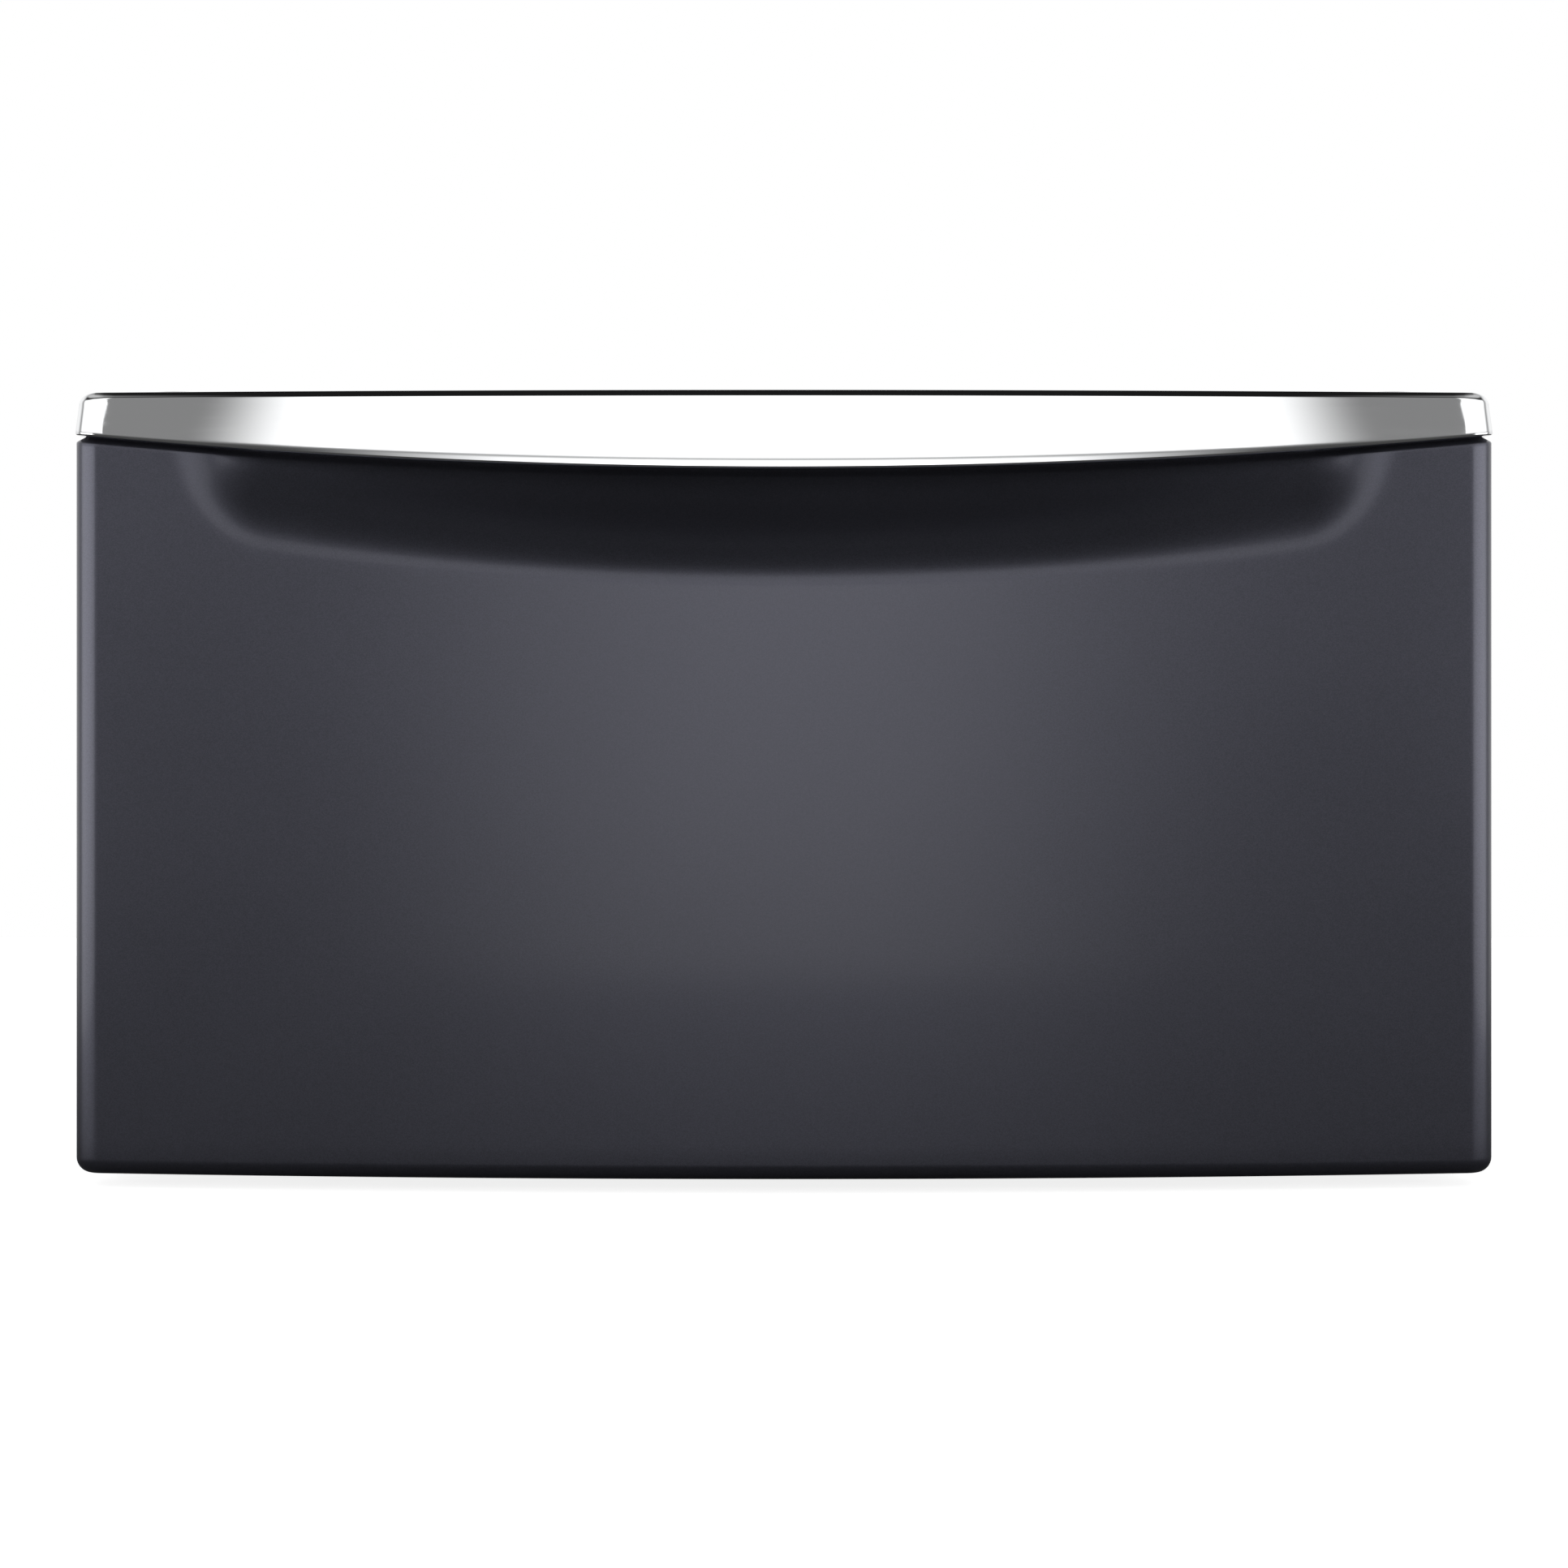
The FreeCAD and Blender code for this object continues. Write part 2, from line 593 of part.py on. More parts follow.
def drawer_side():
    """Right wall of the box: rolled rim outwards, floor flange and front flange inwards."""
    corners = [
        (BOX_X - 16.0, BOX_BOTTOM),
        (BOX_X, BOX_BOTTOM),
        (BOX_X, BOX_TOP),
        (BOX_X + HEM, BOX_TOP),
        (BOX_X + HEM, BOX_TOP - 9.0),
    ]
    wall = folded_along_y(corners, SHEET, FRONT_PANEL_BACK_Y, BOX_REAR_Y)
    y0, y1 = FRONT_PANEL_BACK_Y, FRONT_PANEL_BACK_Y + SHEET
    flange = block(BOX_X - 18, BOX_X - SHEET / 2, y0, y1, BOX_BOTTOM + 12, BOX_TOP - 6)
    side = fused([wall, flange])
    for x, z in box_screw_places()[3:]:
        side = side.cut(rod(SCREW_HOLE_R, Vector(x, -275, z), Vector(x, -266, z)))
    for y in SLIDE_SCREWS_DRAWER_Y:
        side = side.cut(rod(SCREW_HOLE_R, Vector(BOX_X - 4, y, SLIDE_Z), Vector(BOX_X + 2, y, SLIDE_Z)))
    return side


def drawer_bottom():
    """Floor of the box, with five pressed ribs for stiffness."""
    half = BOX_X - SHEET - BEND - 0.1
    low = BOX_BOTTOM + SHEET + 0.1
    plate = block(-half, half, FRONT_PANEL_BACK_Y + SHEET + 0.2, BOX_REAR_Y - 0.3, low, low + SHEET)
    for k in range(-2, 3):
        x = 105.0 * k
        plate = embossed(plate, x - 14, x + 14, -235, 225, low + SHEET, 3.0, SHEET, 12.0)
    return plate


def drawer_back():
    """Rear wall of the box, with a rolled rim and flanges along its ends and floor."""
    half = BOX_X - SHEET - 0.4
    low = BOX_BOTTOM + 2 * SHEET + 0.2
    rear = BOX_REAR_Y - 0.5
    corners = [(BOX_REAR_Y - 14, low), (rear, low), (rear, BOX_TOP - 2), (BOX_REAR_Y - 9, BOX_TOP - 2)]
    wall = folded_along_x(corners, SHEET, -half + 1.0, half - 1.0)
    tab = block(half - SHEET, half, BOX_REAR_Y - 16, rear, low + 10, BOX_TOP - 14)
    return fused([wall, tab, mirrored(tab)])


def divider():
    """Moulded wall across the drawer. Hooks over both rims let it slide forwards and back."""
    half = BOX_X - SHEET - 2.2
    low, high = BOX_BOTTOM + 7.5, BOX_TOP - 8.0
    y0, y1 = DIVIDER_Y - DIVIDER_T / 2, DIVIDER_Y + DIVIDER_T / 2
    wall = block(-half, half, y0, y1, low, high)
    ribs = [block(x - 1.5, x + 1.5, y0 - 4, y1 + 4, low + 6, high) for x in (-200, -100, 0, 100, 200)]
    top = block(-half, half, y0 - 6, y1 + 6, high, high + 4)
    foot = block(-half, half, y0 - 4, y1 + 4, low, low + 3)
    shape = fused([wall, top, foot] + ribs)
    hook_section = [
        (half - 4, high + 1.0),
        (half - 4, BOX_TOP + 3.4),
        (BOX_X + HEM + 3.4, BOX_TOP + 3.4),
        (BOX_X + HEM + 3.4, BOX_TOP - 8.0),
    ]
    hook = folded_along_y(hook_section[::-1], 2.0, y0 - 18, y1 + 18)
    return fused([shape, hook, mirrored(hook)])


# ---------------------------------------------------------------- slides, drawn for the right side


def across(s):
    """X of a point s from the bracket's face, towards the drawer."""
    return BRACKET_X - s


def channel(s_web, s_rim, half_h, t):
    """A slide member: a web at s_web and two flanges that reach to s_rim."""
    web = sorted((across(s_web), across(s_web + math.copysign(t, s_rim - s_web))))
    rim = sorted((across(s_web), across(s_rim)))
    y0, y1 = SLIDE_FRONT_Y, SLIDE_FRONT_Y + SLIDE_LENGTH
    parts = [block(*web, y0, y1, SLIDE_Z - half_h, SLIDE_Z + half_h)]
    for z0, z1 in ((half_h - t, half_h), (-half_h, t - half_h)):
        parts.append(block(*rim, y0, y1, SLIDE_Z + z0, SLIDE_Z + z1))
    shape = fused(parts)
    edges = [
        e
        for e in shape.Edges
        if straight(e, Vector(0, 1, 0))
        and abs(abs(e.BoundBox.ZMax - SLIDE_Z) - half_h) < 1e-6
        and abs(e.BoundBox.XMax - across(s_web)) < 1e-6
    ]
    return shape.makeFillet(t * 0.9, edges)


def slide_outer():
    """Cabinet member of a full-extension ball slide."""
    member = channel(0.0, 12.2, OUTER_H, OUTER_T)
    for y in SLIDE_SCREWS_CABINET_Y:
        member = member.cut(rod(SCREW_HOLE_R, Vector(across(-1), y, SLIDE_Z), Vector(across(3), y, SLIDE_Z)))
    stop = block(across(OUTER_T + 1.2), across(OUTER_T), 282, 286, SLIDE_Z - 8, SLIDE_Z + 8)
    return fused([member, stop])


def slide_middle():
    """Intermediate member, which travels half as far as the drawer."""
    return channel(MIDDLE_S, 12.0, MIDDLE_H, MIDDLE_T)


def slide_inner():
    """Drawer member, with the pin that its release lever turns on."""
    member = channel(SLIDE_T, INNER_S, INNER_H, INNER_T)
    for y in SLIDE_SCREWS_DRAWER_Y:
        member = member.cut(rod(SCREW_HOLE_R, Vector(across(14), y, SLIDE_Z), Vector(across(10), y, SLIDE_Z)))
    pin = rod(1.9, Vector(across(12), LEVER_Y, SLIDE_Z), Vector(across(7.6), LEVER_Y, SLIDE_Z))
    return fused([member, pin])


def release_lever():
    """Plastic lever in the drawer member. Pressing its end unhooks the drawer from the slide."""
    s0, s1 = 8.0, 10.4
    bar = block(across(s1), across(s0), LEVER_Y, LEVER_Y + LEVER_LENGTH, SLIDE_Z - 2, SLIDE_Z + 2)
    hub = rod(5.0, Vector(across(s1), LEVER_Y, SLIDE_Z), Vector(across(s0), LEVER_Y, SLIDE_Z))
    end_y = LEVER_Y + LEVER_LENGTH
    thumb = rod(3.6, Vector(across(s1), end_y, SLIDE_Z), Vector(across(s0), end_y, SLIDE_Z))
    bore = rod(1.95, Vector(across(12), LEVER_Y, SLIDE_Z), Vector(across(7), LEVER_Y, SLIDE_Z))
    return fused([bar, hub, thumb]).cut(bore)


def ball_cage(s_web, s_rim, low_h, high_h):
    """A ball retainer with its balls: a web, and two strips that hold a row of balls each."""
    ball_r = (high_h - low_h) / 2.0 - BALL_GAP
    middle = (low_h + high_h) / 2.0
    ball_s = (s_web + CAGE_T + s_rim) / 2.0
    y0, y1 = CAGE_FRONT_Y, CAGE_FRONT_Y + CAGE_LENGTH
    parts = [block(across(s_web + CAGE_T), across(s_web), y0, y1, SLIDE_Z - middle, SLIDE_Z + middle)]
    for side in (-1, 1):
        z = SLIDE_Z + side * middle
        parts.append(block(across(s_rim), across(s_web), y0, y1, z - CAGE_T / 2, z + CAGE_T / 2))
    cage = fused(parts)
    balls = []
    for side in (-1, 1):
        for k in range(BALLS):
            at = Vector(across(ball_s), y0 + CAGE_LENGTH * (k + 0.5) / BALLS, SLIDE_Z + side * middle)
            up = Vector(0, 0, CAGE_T)
            cage = cage.cut(rod(ball_r + 0.1, at - up, at + up))
            balls.append(Part.makeSphere(ball_r, at))
    return Part.makeCompound([cage] + balls)


def slide_screws(places, s_head, toward_drawer):
    """Flat-headed screws that hold a slide member."""
    screws = []
    sign = 1.0 if toward_drawer else -1.0
    for y in places:
        head = rod(3.6, Vector(across(s_head - sign * 1.0), y, SLIDE_Z), Vector(across(s_head), y, SLIDE_Z))
        length = 3.6 if toward_drawer else 9.0
        tip = Vector(across(s_head + sign * length), y, SLIDE_Z)
        shank = rod(SCREW_R, Vector(across(s_head), y, SLIDE_Z), tip)
        screws.append(fused([head, shank]))
    return screws


# ---------------------------------------------------------------- cabinet
def side_panel():
    """Right side of the cabinet: one sheet folded inwards at the front and at the rear."""
    rear_y = SKIRT_Y - 2 * SHEET
    corners = [(OPENING_HALF, CAB_FRONT_Y), (PANEL_X, CAB_FRONT_Y), (PANEL_X, rear_y), (PANEL_X - 24, rear_y)]
    top = DECK_TOP - LID_R - 0.2
    panel = folded_along_z(corners, SHEET, PANEL_BOTTOM, top)
    for z in BUMPER_Z:
        panel = panel.cut(rod(BUMPER_STEM_R, Vector(BUMPER_X, -270, z), Vector(BUMPER_X, -264, z)))
    for x, z in rear_screw_places():
        panel = panel.cut(rod(SCREW_HOLE_R, Vector(x, 325, z), Vector(x, 340, z)))
    return panel


def rear_screw_places():
    """Where the rear panel is screwed to the side panels."""
    return [(side * (PANEL_X - 14.0), z) for side in (-1, 1) for z in (40.0, 130.0, 220.0, 310.0)]


def rear_panel():
    """Rear wall with two large pressed fields. It is drawn lying down and then stood up."""
    half, low, high = PANEL_X - 3.0, PANEL_BOTTOM + 2.0, DECK_TOP - LID_R - 0.2
    plate = block(-half, half, low, high, -SHEET, 0)
    for side in (-1, 1):
        x = side * 158.0
        plate = embossed(plate, x - 138, x + 138, low + 42, high - 48, 0, 2.6, SHEET, 22.0)
    plate.rotate(Vector(0, 0, 0), Vector(1, 0, 0), 90)
    plate = mirrored_y(plate)
    plate.translate(Vector(0, SKIRT_Y - SHEET, 0))
    places = rear_screw_places() + [(x, DECK_SCREW_Z) for x in DECK_SCREWS_X]
    for x, z in places:
        plate = plate.cut(rod(SCREW_HOLE_R, Vector(x, 325, z), Vector(x, 340, z)))
    return plate


def boss_places():
    return [(side * BOSS_X, y) for side in (-1, 1) for y in (BOSS_FRONT_Y, BOSS_REAR_Y)]


def deck_boss(x, y):
    """A raised round seat for one corner of the washer, with a hole for its bolt."""
    low_r, high_r = BOSS_R, BOSS_R - 4.5
    corners = [(low_r + 6, DECK_TOP), (low_r, DECK_TOP), (high_r, BOSS_TOP), (BOLT_HOLE_R, BOSS_TOP)]
    face = sheet_section(corners, SHEET, lambda p: Vector(p.x, 0, p.y))
    boss = face.revolve(Vector(0, 0, 0), Vector(0, 0, 1), 360)
    boss.translate(Vector(x, y, 0))
    return boss


def deck():
    """Top of the pedestal: a shallow lid with pressed ribs and four raised seats for the washer."""
    front_y = CAB_FRONT_Y - SHEET - 0.2
    lid = pan(-HALF_WIDTH, HALF_WIDTH, front_y, SKIRT_Y + 0.1, DECK_TOP - SKIRT, DECK_TOP, SHEET, LID_R)
    for k in range(-2, 3):
        x = 100.0 * k
        lid = embossed(lid, x - 16, x + 16, -190, 225, DECK_TOP, 3.2, SHEET, 14.0)
    for x, y in boss_places():
        lid = lid.cut(rod(BOSS_R + 6, Vector(x, y, DECK_TOP - 3), Vector(x, y, DECK_TOP + 3)))
        lid = lid.fuse(deck_boss(x, y))
    lid = lid.removeSplitter()
    for x in DECK_SCREWS_X:
        lid = lid.cut(rod(SCREW_HOLE_R, Vector(x, 325, DECK_SCREW_Z), Vector(x, 340, DECK_SCREW_Z)))
    return lid


def deck_beam(y):
    """Folded cross beam under two of the washer's seats, with access holes for its bolts."""
    top = DECK_TOP - SHEET - 0.3
    corners = [
        (y - BEAM_HALF - BEAM_FOOT, BEAM_BOTTOM),
        (y - BEAM_HALF, BEAM_BOTTOM),
        (y - BEAM_HALF, top),
        (y + BEAM_HALF, top),
        (y + BEAM_HALF, BEAM_BOTTOM),
        (y + BEAM_HALF + BEAM_FOOT, BEAM_BOTTOM),
    ]
    beam = folded_along_x(corners[::-1], FRAME_SHEET, -PANEL_X + 6.0, PANEL_X - 6.0)
    for side in (-1, 1):
        x = side * BOSS_X
        beam = beam.cut(rod(ACCESS_R, Vector(x, y, BEAM_BOTTOM - 5), Vector(x, y, DECK_TOP)))
    return beam


def front_top_rail():
    """Folded rail across the top of the drawer opening."""
    top, low, face_y = DECK_TOP - LID_R - 0.8, BEAM_BOTTOM - FRAME_SHEET, CAB_FRONT_Y + 0.1
    corners = [(face_y + 11.0, top), (face_y, top), (face_y, low), (face_y + 3.6, low)]
    return folded_along_x(corners, FRAME_SHEET, -OPENING_HALF + 0.5, OPENING_HALF - 0.5)


def corner_post(front):
    """Right-hand corner angle that carries the deck's beam down to the base rail."""
    x0, x1 = OPENING_HALF + 2.0, RAIL_OUT_X - FRAME_SHEET - 0.1
    if front:
        y = CAB_FRONT_Y + SHEET + FRAME_SHEET + 0.4
        corners = [(x0, y), (x1, y), (x1, y + 34)]
    else:
        y = SKIRT_Y - 3 * SHEET - FRAME_SHEET - 0.4
        corners = [(x1, y - 34), (x1, y), (x0, y)]
    low, high = BASE_Z + FRAME_SHEET + BEND + 0.1, BEAM_BOTTOM - FRAME_SHEET - 0.1
    post = folded_along_z(corners, FRAME_SHEET, low, high)
    if not front:
        for x, z in rear_screw_places()[4:]:
            post = post.cut(rod(SCREW_HOLE_R, Vector(x, 320, z), Vector(x, 335, z)))
    return post


def base_side_rail():
    """Right-hand base channel, open upwards, which the feet screw into."""
    y0, y1 = CAB_FRONT_Y + SHEET + BEND + 0.1, SKIRT_Y - 3 * SHEET - BEND - 0.1
    corners = [(RAIL_IN_X, RAIL_TOP), (RAIL_IN_X, BASE_Z), (RAIL_OUT_X, BASE_Z), (RAIL_OUT_X, RAIL_TOP)]
    rail = folded_along_y(corners, FRAME_SHEET, y0, y1)
    for y in (FOOT_FRONT_Y, FOOT_REAR_Y):
        rail = rail.cut(rod(STUD_R + 0.5, Vector(FOOT_X, y, BASE_Z - 3), Vector(FOOT_X, y, BASE_Z + 5)))
    return rail


def base_cross_rail(y0, y1):
    """Base channel from side to side, between the side rails."""
    half = RAIL_IN_X - 0.1
    corners = [(y0, RAIL_TOP), (y0, BASE_Z), (y1, BASE_Z), (y1, RAIL_TOP)]
    return folded_along_x(corners, FRAME_SHEET, -half, half)


def slide_bracket():
    """Right-hand channel between the posts, with the slide screwed to its face."""
    y0 = CAB_FRONT_Y + SHEET + 2 * FRAME_SHEET + 0.5
    y1 = SKIRT_Y - 3 * SHEET - 2 * FRAME_SHEET - 0.5
    low, high = SLIDE_Z - 40, SLIDE_Z + 40
    corners = [(PANEL_X - 7, low), (BRACKET_X, low), (BRACKET_X, high), (PANEL_X - 7, high)]
    bracket = folded_along_y(corners[::-1], FRAME_SHEET, y0, y1)
    for y in SLIDE_SCREWS_CABINET_Y:
        hole = rod(SCREW_HOLE_R, Vector(BRACKET_X - 2, y, SLIDE_Z), Vector(BRACKET_X + 4, y, SLIDE_Z))
        bracket = bracket.cut(hole)
    return bracket


def bumper(x, z):
    """Rubber button on the cabinet's front flange that the drawer front closes against."""
    face_y = FRONT_PANEL_BACK_Y + 0.2
    disc = Part.makeCylinder(BUMPER_R, CAB_FRONT_Y - face_y, Vector(x, face_y, z), Vector(0, 1, 0))
    rim = [e for e in disc.Edges if abs(e.BoundBox.YMax - face_y) < 1e-6]
    disc = disc.makeFillet(1.4, rim)
    stem = rod(BUMPER_STEM_R - 0.1, Vector(x, CAB_FRONT_Y, z), Vector(x, CAB_FRONT_Y + SHEET, z))
    return fused([disc, stem])


# ---------------------------------------------------------------- feet
def foot_places():
    return {
        "front_left": (-FOOT_X, FOOT_FRONT_Y),
        "front_right": (FOOT_X, FOOT_FRONT_Y),
        "rear_left": (-FOOT_X, FOOT_REAR_Y),
        "rear_right": (FOOT_X, FOOT_REAR_Y),
    }


def foot_pad(x, y):
    """Rubber pad with a round socket that the foot's stud turns in."""
    outside = [(0, 0), (PAD_R - 2, 0), (PAD_R, 2), (PAD_R, 5), (PAD_R - 4, PAD_H)]
    profile = outside + [(SOCKET_R, PAD_H), (SOCKET_R, SOCKET_Z), (0, SOCKET_Z), (0, 0)]
    face = Part.Face(Part.makePolygon([Vector(r, 0, z) for r, z in profile]))
    pad = face.revolve(Vector(0, 0, 0), Vector(0, 0, 1), 360)
    pad.translate(Vector(x, y, 0))
    return pad


def foot_stud(x, y):
    """Levelling stud: a disc in the pad's socket, a hex for the wrench, and the threaded shank."""
    disc = Part.makeCylinder(SOCKET_R - 0.06, 4.6, Vector(x, y, SOCKET_Z))
    neck = Part.makeCylinder(STUD_R, STUD_TOP - SOCKET_Z, Vector(x, y, SOCKET_Z))
    hexed = hexagon(HEX_FLATS, PAD_H + 0.4, PAD_H + 5.4, x, y)
    stud = fused([disc, neck, hexed])
    tip = [e for e in stud.Edges if abs(e.BoundBox.ZMin - STUD_TOP) < 1e-6]
    return stud.makeChamfer(1.0, tip)


def nut(x, y, z0, height):
    """Plain hex nut on the stud, with its corners turned off."""
    body = hexagon(HEX_FLATS, z0, z0 + height, x, y)
    barrel = Part.makeCylinder(HEX_FLATS / 2 * 1.1, height, Vector(x, y, z0))
    barrel = barrel.makeChamfer(1.0, [e for e in barrel.Edges if not straight(e, Vector(0, 0, 1))])
    bore = rod(STUD_R + THREAD_GAP, Vector(x, y, z0 - 1), Vector(x, y, z0 + height + 1))
    return body.common(barrel).cut(bore)


# ---------------------------------------------------------------- everything
def build_drawer():
    save("drawer_front_skin", drawer_front_skin())
    save("handle", handle())
    save("handle_carrier", handle_carrier())
    save("handle_screws", handle_screws())
    save("front_inner_panel", front_inner_panel())
    save("front_stiffeners", front_stiffeners())
    save_pair("drawer_side", drawer_side())
    save("drawer_bottom", drawer_bottom())
    save("drawer_back", drawer_back())
    save("drawer_divider", divider())
    heads = [Vector(x, FRONT_PANEL_BACK_Y + SHEET, z) for x, z in box_screw_places()]
    screws = [hex_screw(head, Vector(0, -1, 0), 9) for head in heads]
    save("drawer_box_screws", Part.makeCompound(screws))


def build_slides():
    save_pair("slide_outer", slide_outer())
    save_pair("slide_middle", slide_middle())
    save_pair("slide_inner", slide_inner())
    save_pair("release_lever", release_lever())
    save_pair("ball_cage_outer", ball_cage(OUTER_T + 0.4, 11.0, MIDDLE_H, OUTER_H - OUTER_T))
    save_pair("ball_cage_inner", ball_cage(MIDDLE_S + MIDDLE_T + 0.3, 11.0, INNER_H, MIDDLE_H - MIDDLE_T))
    cabinet = slide_screws(SLIDE_SCREWS_CABINET_Y, OUTER_T, False)
    drawer = slide_screws(SLIDE_SCREWS_DRAWER_Y, SLIDE_T - INNER_T, True)
    save("slide_screws_cabinet", Part.makeCompound(cabinet + [mirrored(s) for s in cabinet]))
    save("slide_screws_drawer", Part.makeCompound(drawer + [mirrored(s) for s in drawer]))


def build_cabinet():
    save_pair("side_panel", side_panel())
    save("rear_panel", rear_panel())
    save("deck", deck())
    save("deck_beam_front", deck_beam(BOSS_FRONT_Y))
    save("deck_beam_rear", deck_beam(BOSS_REAR_Y))
    save("front_top_rail", front_top_rail())
    save_pair("corner_post_front", corner_post(True))
    save_pair("corner_post_rear", corner_post(False))
    save_pair("base_rail", base_side_rail())
    save("base_rail_front", base_cross_rail(CAB_FRONT_Y + SHEET + BEND + 0.1, -226.0))
    save("base_rail_rear", base_cross_rail(292.0, SKIRT_Y - 3 * SHEET - BEND - 0.1))
    save_pair("slide_bracket", slide_bracket())
    bumpers = [bumper(side * BUMPER_X, z) for side in (-1, 1) for z in BUMPER_Z]
    save("drawer_bumpers", Part.makeCompound(bumpers))
    rear = [hex_screw(Vector(x, SKIRT_Y - SHEET, z), Vector(0, -1, 0), 10) for x, z in rear_screw_places()]
    save("rear_panel_screws", Part.makeCompound(rear))
    top = [hex_screw(Vector(x, SKIRT_Y + 0.1, DECK_SCREW_Z), Vector(0, -1, 0), 8) for x in DECK_SCREWS_X]
    save("deck_screws", Part.makeCompound(top))


def build_feet():
    weld_nuts = []
    for corner, (x, y) in foot_places().items():
        save("foot_pad_" + corner, foot_pad(x, y))
        save("foot_stud_" + corner, foot_stud(x, y))
        save("jam_nut_" + corner, nut(x, y, PAD_H + 5.8, 5.0))
        weld_nuts.append(nut(x, y, BASE_Z + FRAME_SHEET, 8.0))
    save("weld_nuts", Part.makeCompound(weld_nuts))


os.makedirs("parts", exist_ok=True)
build_drawer()
build_slides()
build_cabinet()
build_feet()
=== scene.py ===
"""A laundry pedestal: a low steel stand with a storage drawer, which a front-loading washer is bolted onto."""
import json

import bpy
import numpy as np
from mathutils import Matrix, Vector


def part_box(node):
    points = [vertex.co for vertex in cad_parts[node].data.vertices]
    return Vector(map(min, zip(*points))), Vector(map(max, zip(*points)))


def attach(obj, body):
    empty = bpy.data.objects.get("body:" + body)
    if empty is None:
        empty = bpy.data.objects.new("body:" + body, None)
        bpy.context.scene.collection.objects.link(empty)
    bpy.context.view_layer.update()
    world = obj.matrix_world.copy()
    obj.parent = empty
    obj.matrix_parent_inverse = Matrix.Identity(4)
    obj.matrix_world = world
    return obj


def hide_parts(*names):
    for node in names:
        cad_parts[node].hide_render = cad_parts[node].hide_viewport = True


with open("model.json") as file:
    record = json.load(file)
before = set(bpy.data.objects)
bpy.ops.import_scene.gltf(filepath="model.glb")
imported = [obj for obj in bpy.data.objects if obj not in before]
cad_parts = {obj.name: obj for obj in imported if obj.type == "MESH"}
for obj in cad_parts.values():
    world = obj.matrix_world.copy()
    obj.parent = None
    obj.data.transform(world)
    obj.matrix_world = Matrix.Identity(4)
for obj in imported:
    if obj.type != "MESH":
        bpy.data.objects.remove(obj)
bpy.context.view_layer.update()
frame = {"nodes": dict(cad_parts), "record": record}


# ------------------------------------------------------------------ the studio
# A plain white floor, a wide soft light in front of the pedestal, softer ones at its sides and above it,
# and a level camera a few paces away, a little above the floor.

FRONT_END_Y = -0.308  # where the front's bow ends, near the two corners
CAMERA_AWAY = 2.5
EYE_HEIGHT = 0.2626
SENSOR_MM = 36.0
LENS_MM = 119.031
SHIFT = -0.09006  # keeps the camera level, with the pedestal in the middle of the frame


class Socket:
    """A shader value. Arithmetic on it adds the Math nodes that work it out."""

    def __init__(self, tree, link):
        self.tree = tree
        self.link = link

    def node(self, kind, settings=None, **inputs):
        """Any node: its settings come first, then its sockets' values or links. It gives the node."""
        made = self.tree.nodes.new("ShaderNode" + kind)
        for name, value in (settings or {}).items():
            setattr(made, name, value)
        for name, value in inputs.items():
            key = int(name[1:]) if name[0] == "i" and name[1:].isdigit() else name.replace("_", " ")
            if isinstance(value, Socket):
                self.tree.links.new(value.link, made.inputs[key])
            else:
                made.inputs[key].default_value = value
        return made

    def out(self, made, name=0):
        return Socket(self.tree, made.outputs[name])

    def maths(self, operation, *values):
        made = self.node("Math", {"operation": operation}, **{f"i{k}": v for k, v in enumerate(values)})
        return self.out(made)

    def __add__(self, other):
        return self.maths("ADD", self, other)

    __radd__ = __add__

    def __mul__(self, other):
        return self.maths("MULTIPLY", self, other)

    __rmul__ = __mul__

    def __sub__(self, other):
        return self.maths("SUBTRACT", self, other)

    def __rsub__(self, other):
        return self.maths("SUBTRACT", other, self)

    def __truediv__(self, other):
        return self.maths("DIVIDE", self, other)

    def above(self, edge):
        return self.maths("GREATER_THAN", self, edge)

    def most(self, other):
        return self.maths("MAXIMUM", self, other)

    def size(self):
        return self.maths("ABSOLUTE", self)

    def step(self, low, high, start=0.0, end=1.0):
        """A smooth step from start to end as this goes from low to high."""
        made = self.node(
            "MapRange", {"interpolation_type": "SMOOTHSTEP"}, i0=self, i1=low, i2=high, i3=start, i4=end
        )
        return self.out(made)

    def blend(self, first, second):
        """A colour between two, by this share of the second."""
        made = self.node("Mix", {"data_type": "RGBA"}, i0=self, i6=first, i7=second)
        return self.out(made, 2)


def finish(name, colour, roughness, metallic=0.0, **fixed):
    """A new material with its shader's constants. It gives the material and a Socket to build on."""
    made = bpy.data.materials.new(name)
    made.use_nodes = True
    shader = made.node_tree.nodes["Principled BSDF"]
    shader.inputs["Base Color"].default_value = (*colour, 1.0)
    shader.inputs["Roughness"].default_value = roughness
    shader.inputs["Metallic"].default_value = metallic
    for key, value in fixed.items():
        shader.inputs[key.replace("_", " ")].default_value = value
    return made, Socket(made.node_tree, None)


camera_data = bpy.data.cameras.new("camera")
camera_data.sensor_width = SENSOR_MM
camera_data.lens = LENS_MM
camera_data.shift_y = SHIFT
camera_data.clip_end = 50.0
camera = bpy.data.objects.new("camera", camera_data)
bpy.context.scene.collection.objects.link(camera)
camera.location = (0.0, FRONT_END_Y - CAMERA_AWAY, EYE_HEIGHT)
camera.rotation_euler = (np.pi / 2.0, 0.0, 0.0)
bpy.context.scene.camera = camera
bpy.context.scene.view_settings.view_transform = "Standard"

floor_mesh = bpy.data.meshes.new("studio_floor")
floor_mesh.from_pydata([(-1.3, -1.9, 0), (1.3, -1.9, 0), (1.3, 1.8, 0), (-1.3, 1.8, 0)], [], [(0, 1, 2, 3)])
floor = bpy.data.objects.new("studio_floor", floor_mesh)
bpy.context.scene.collection.objects.link(floor)


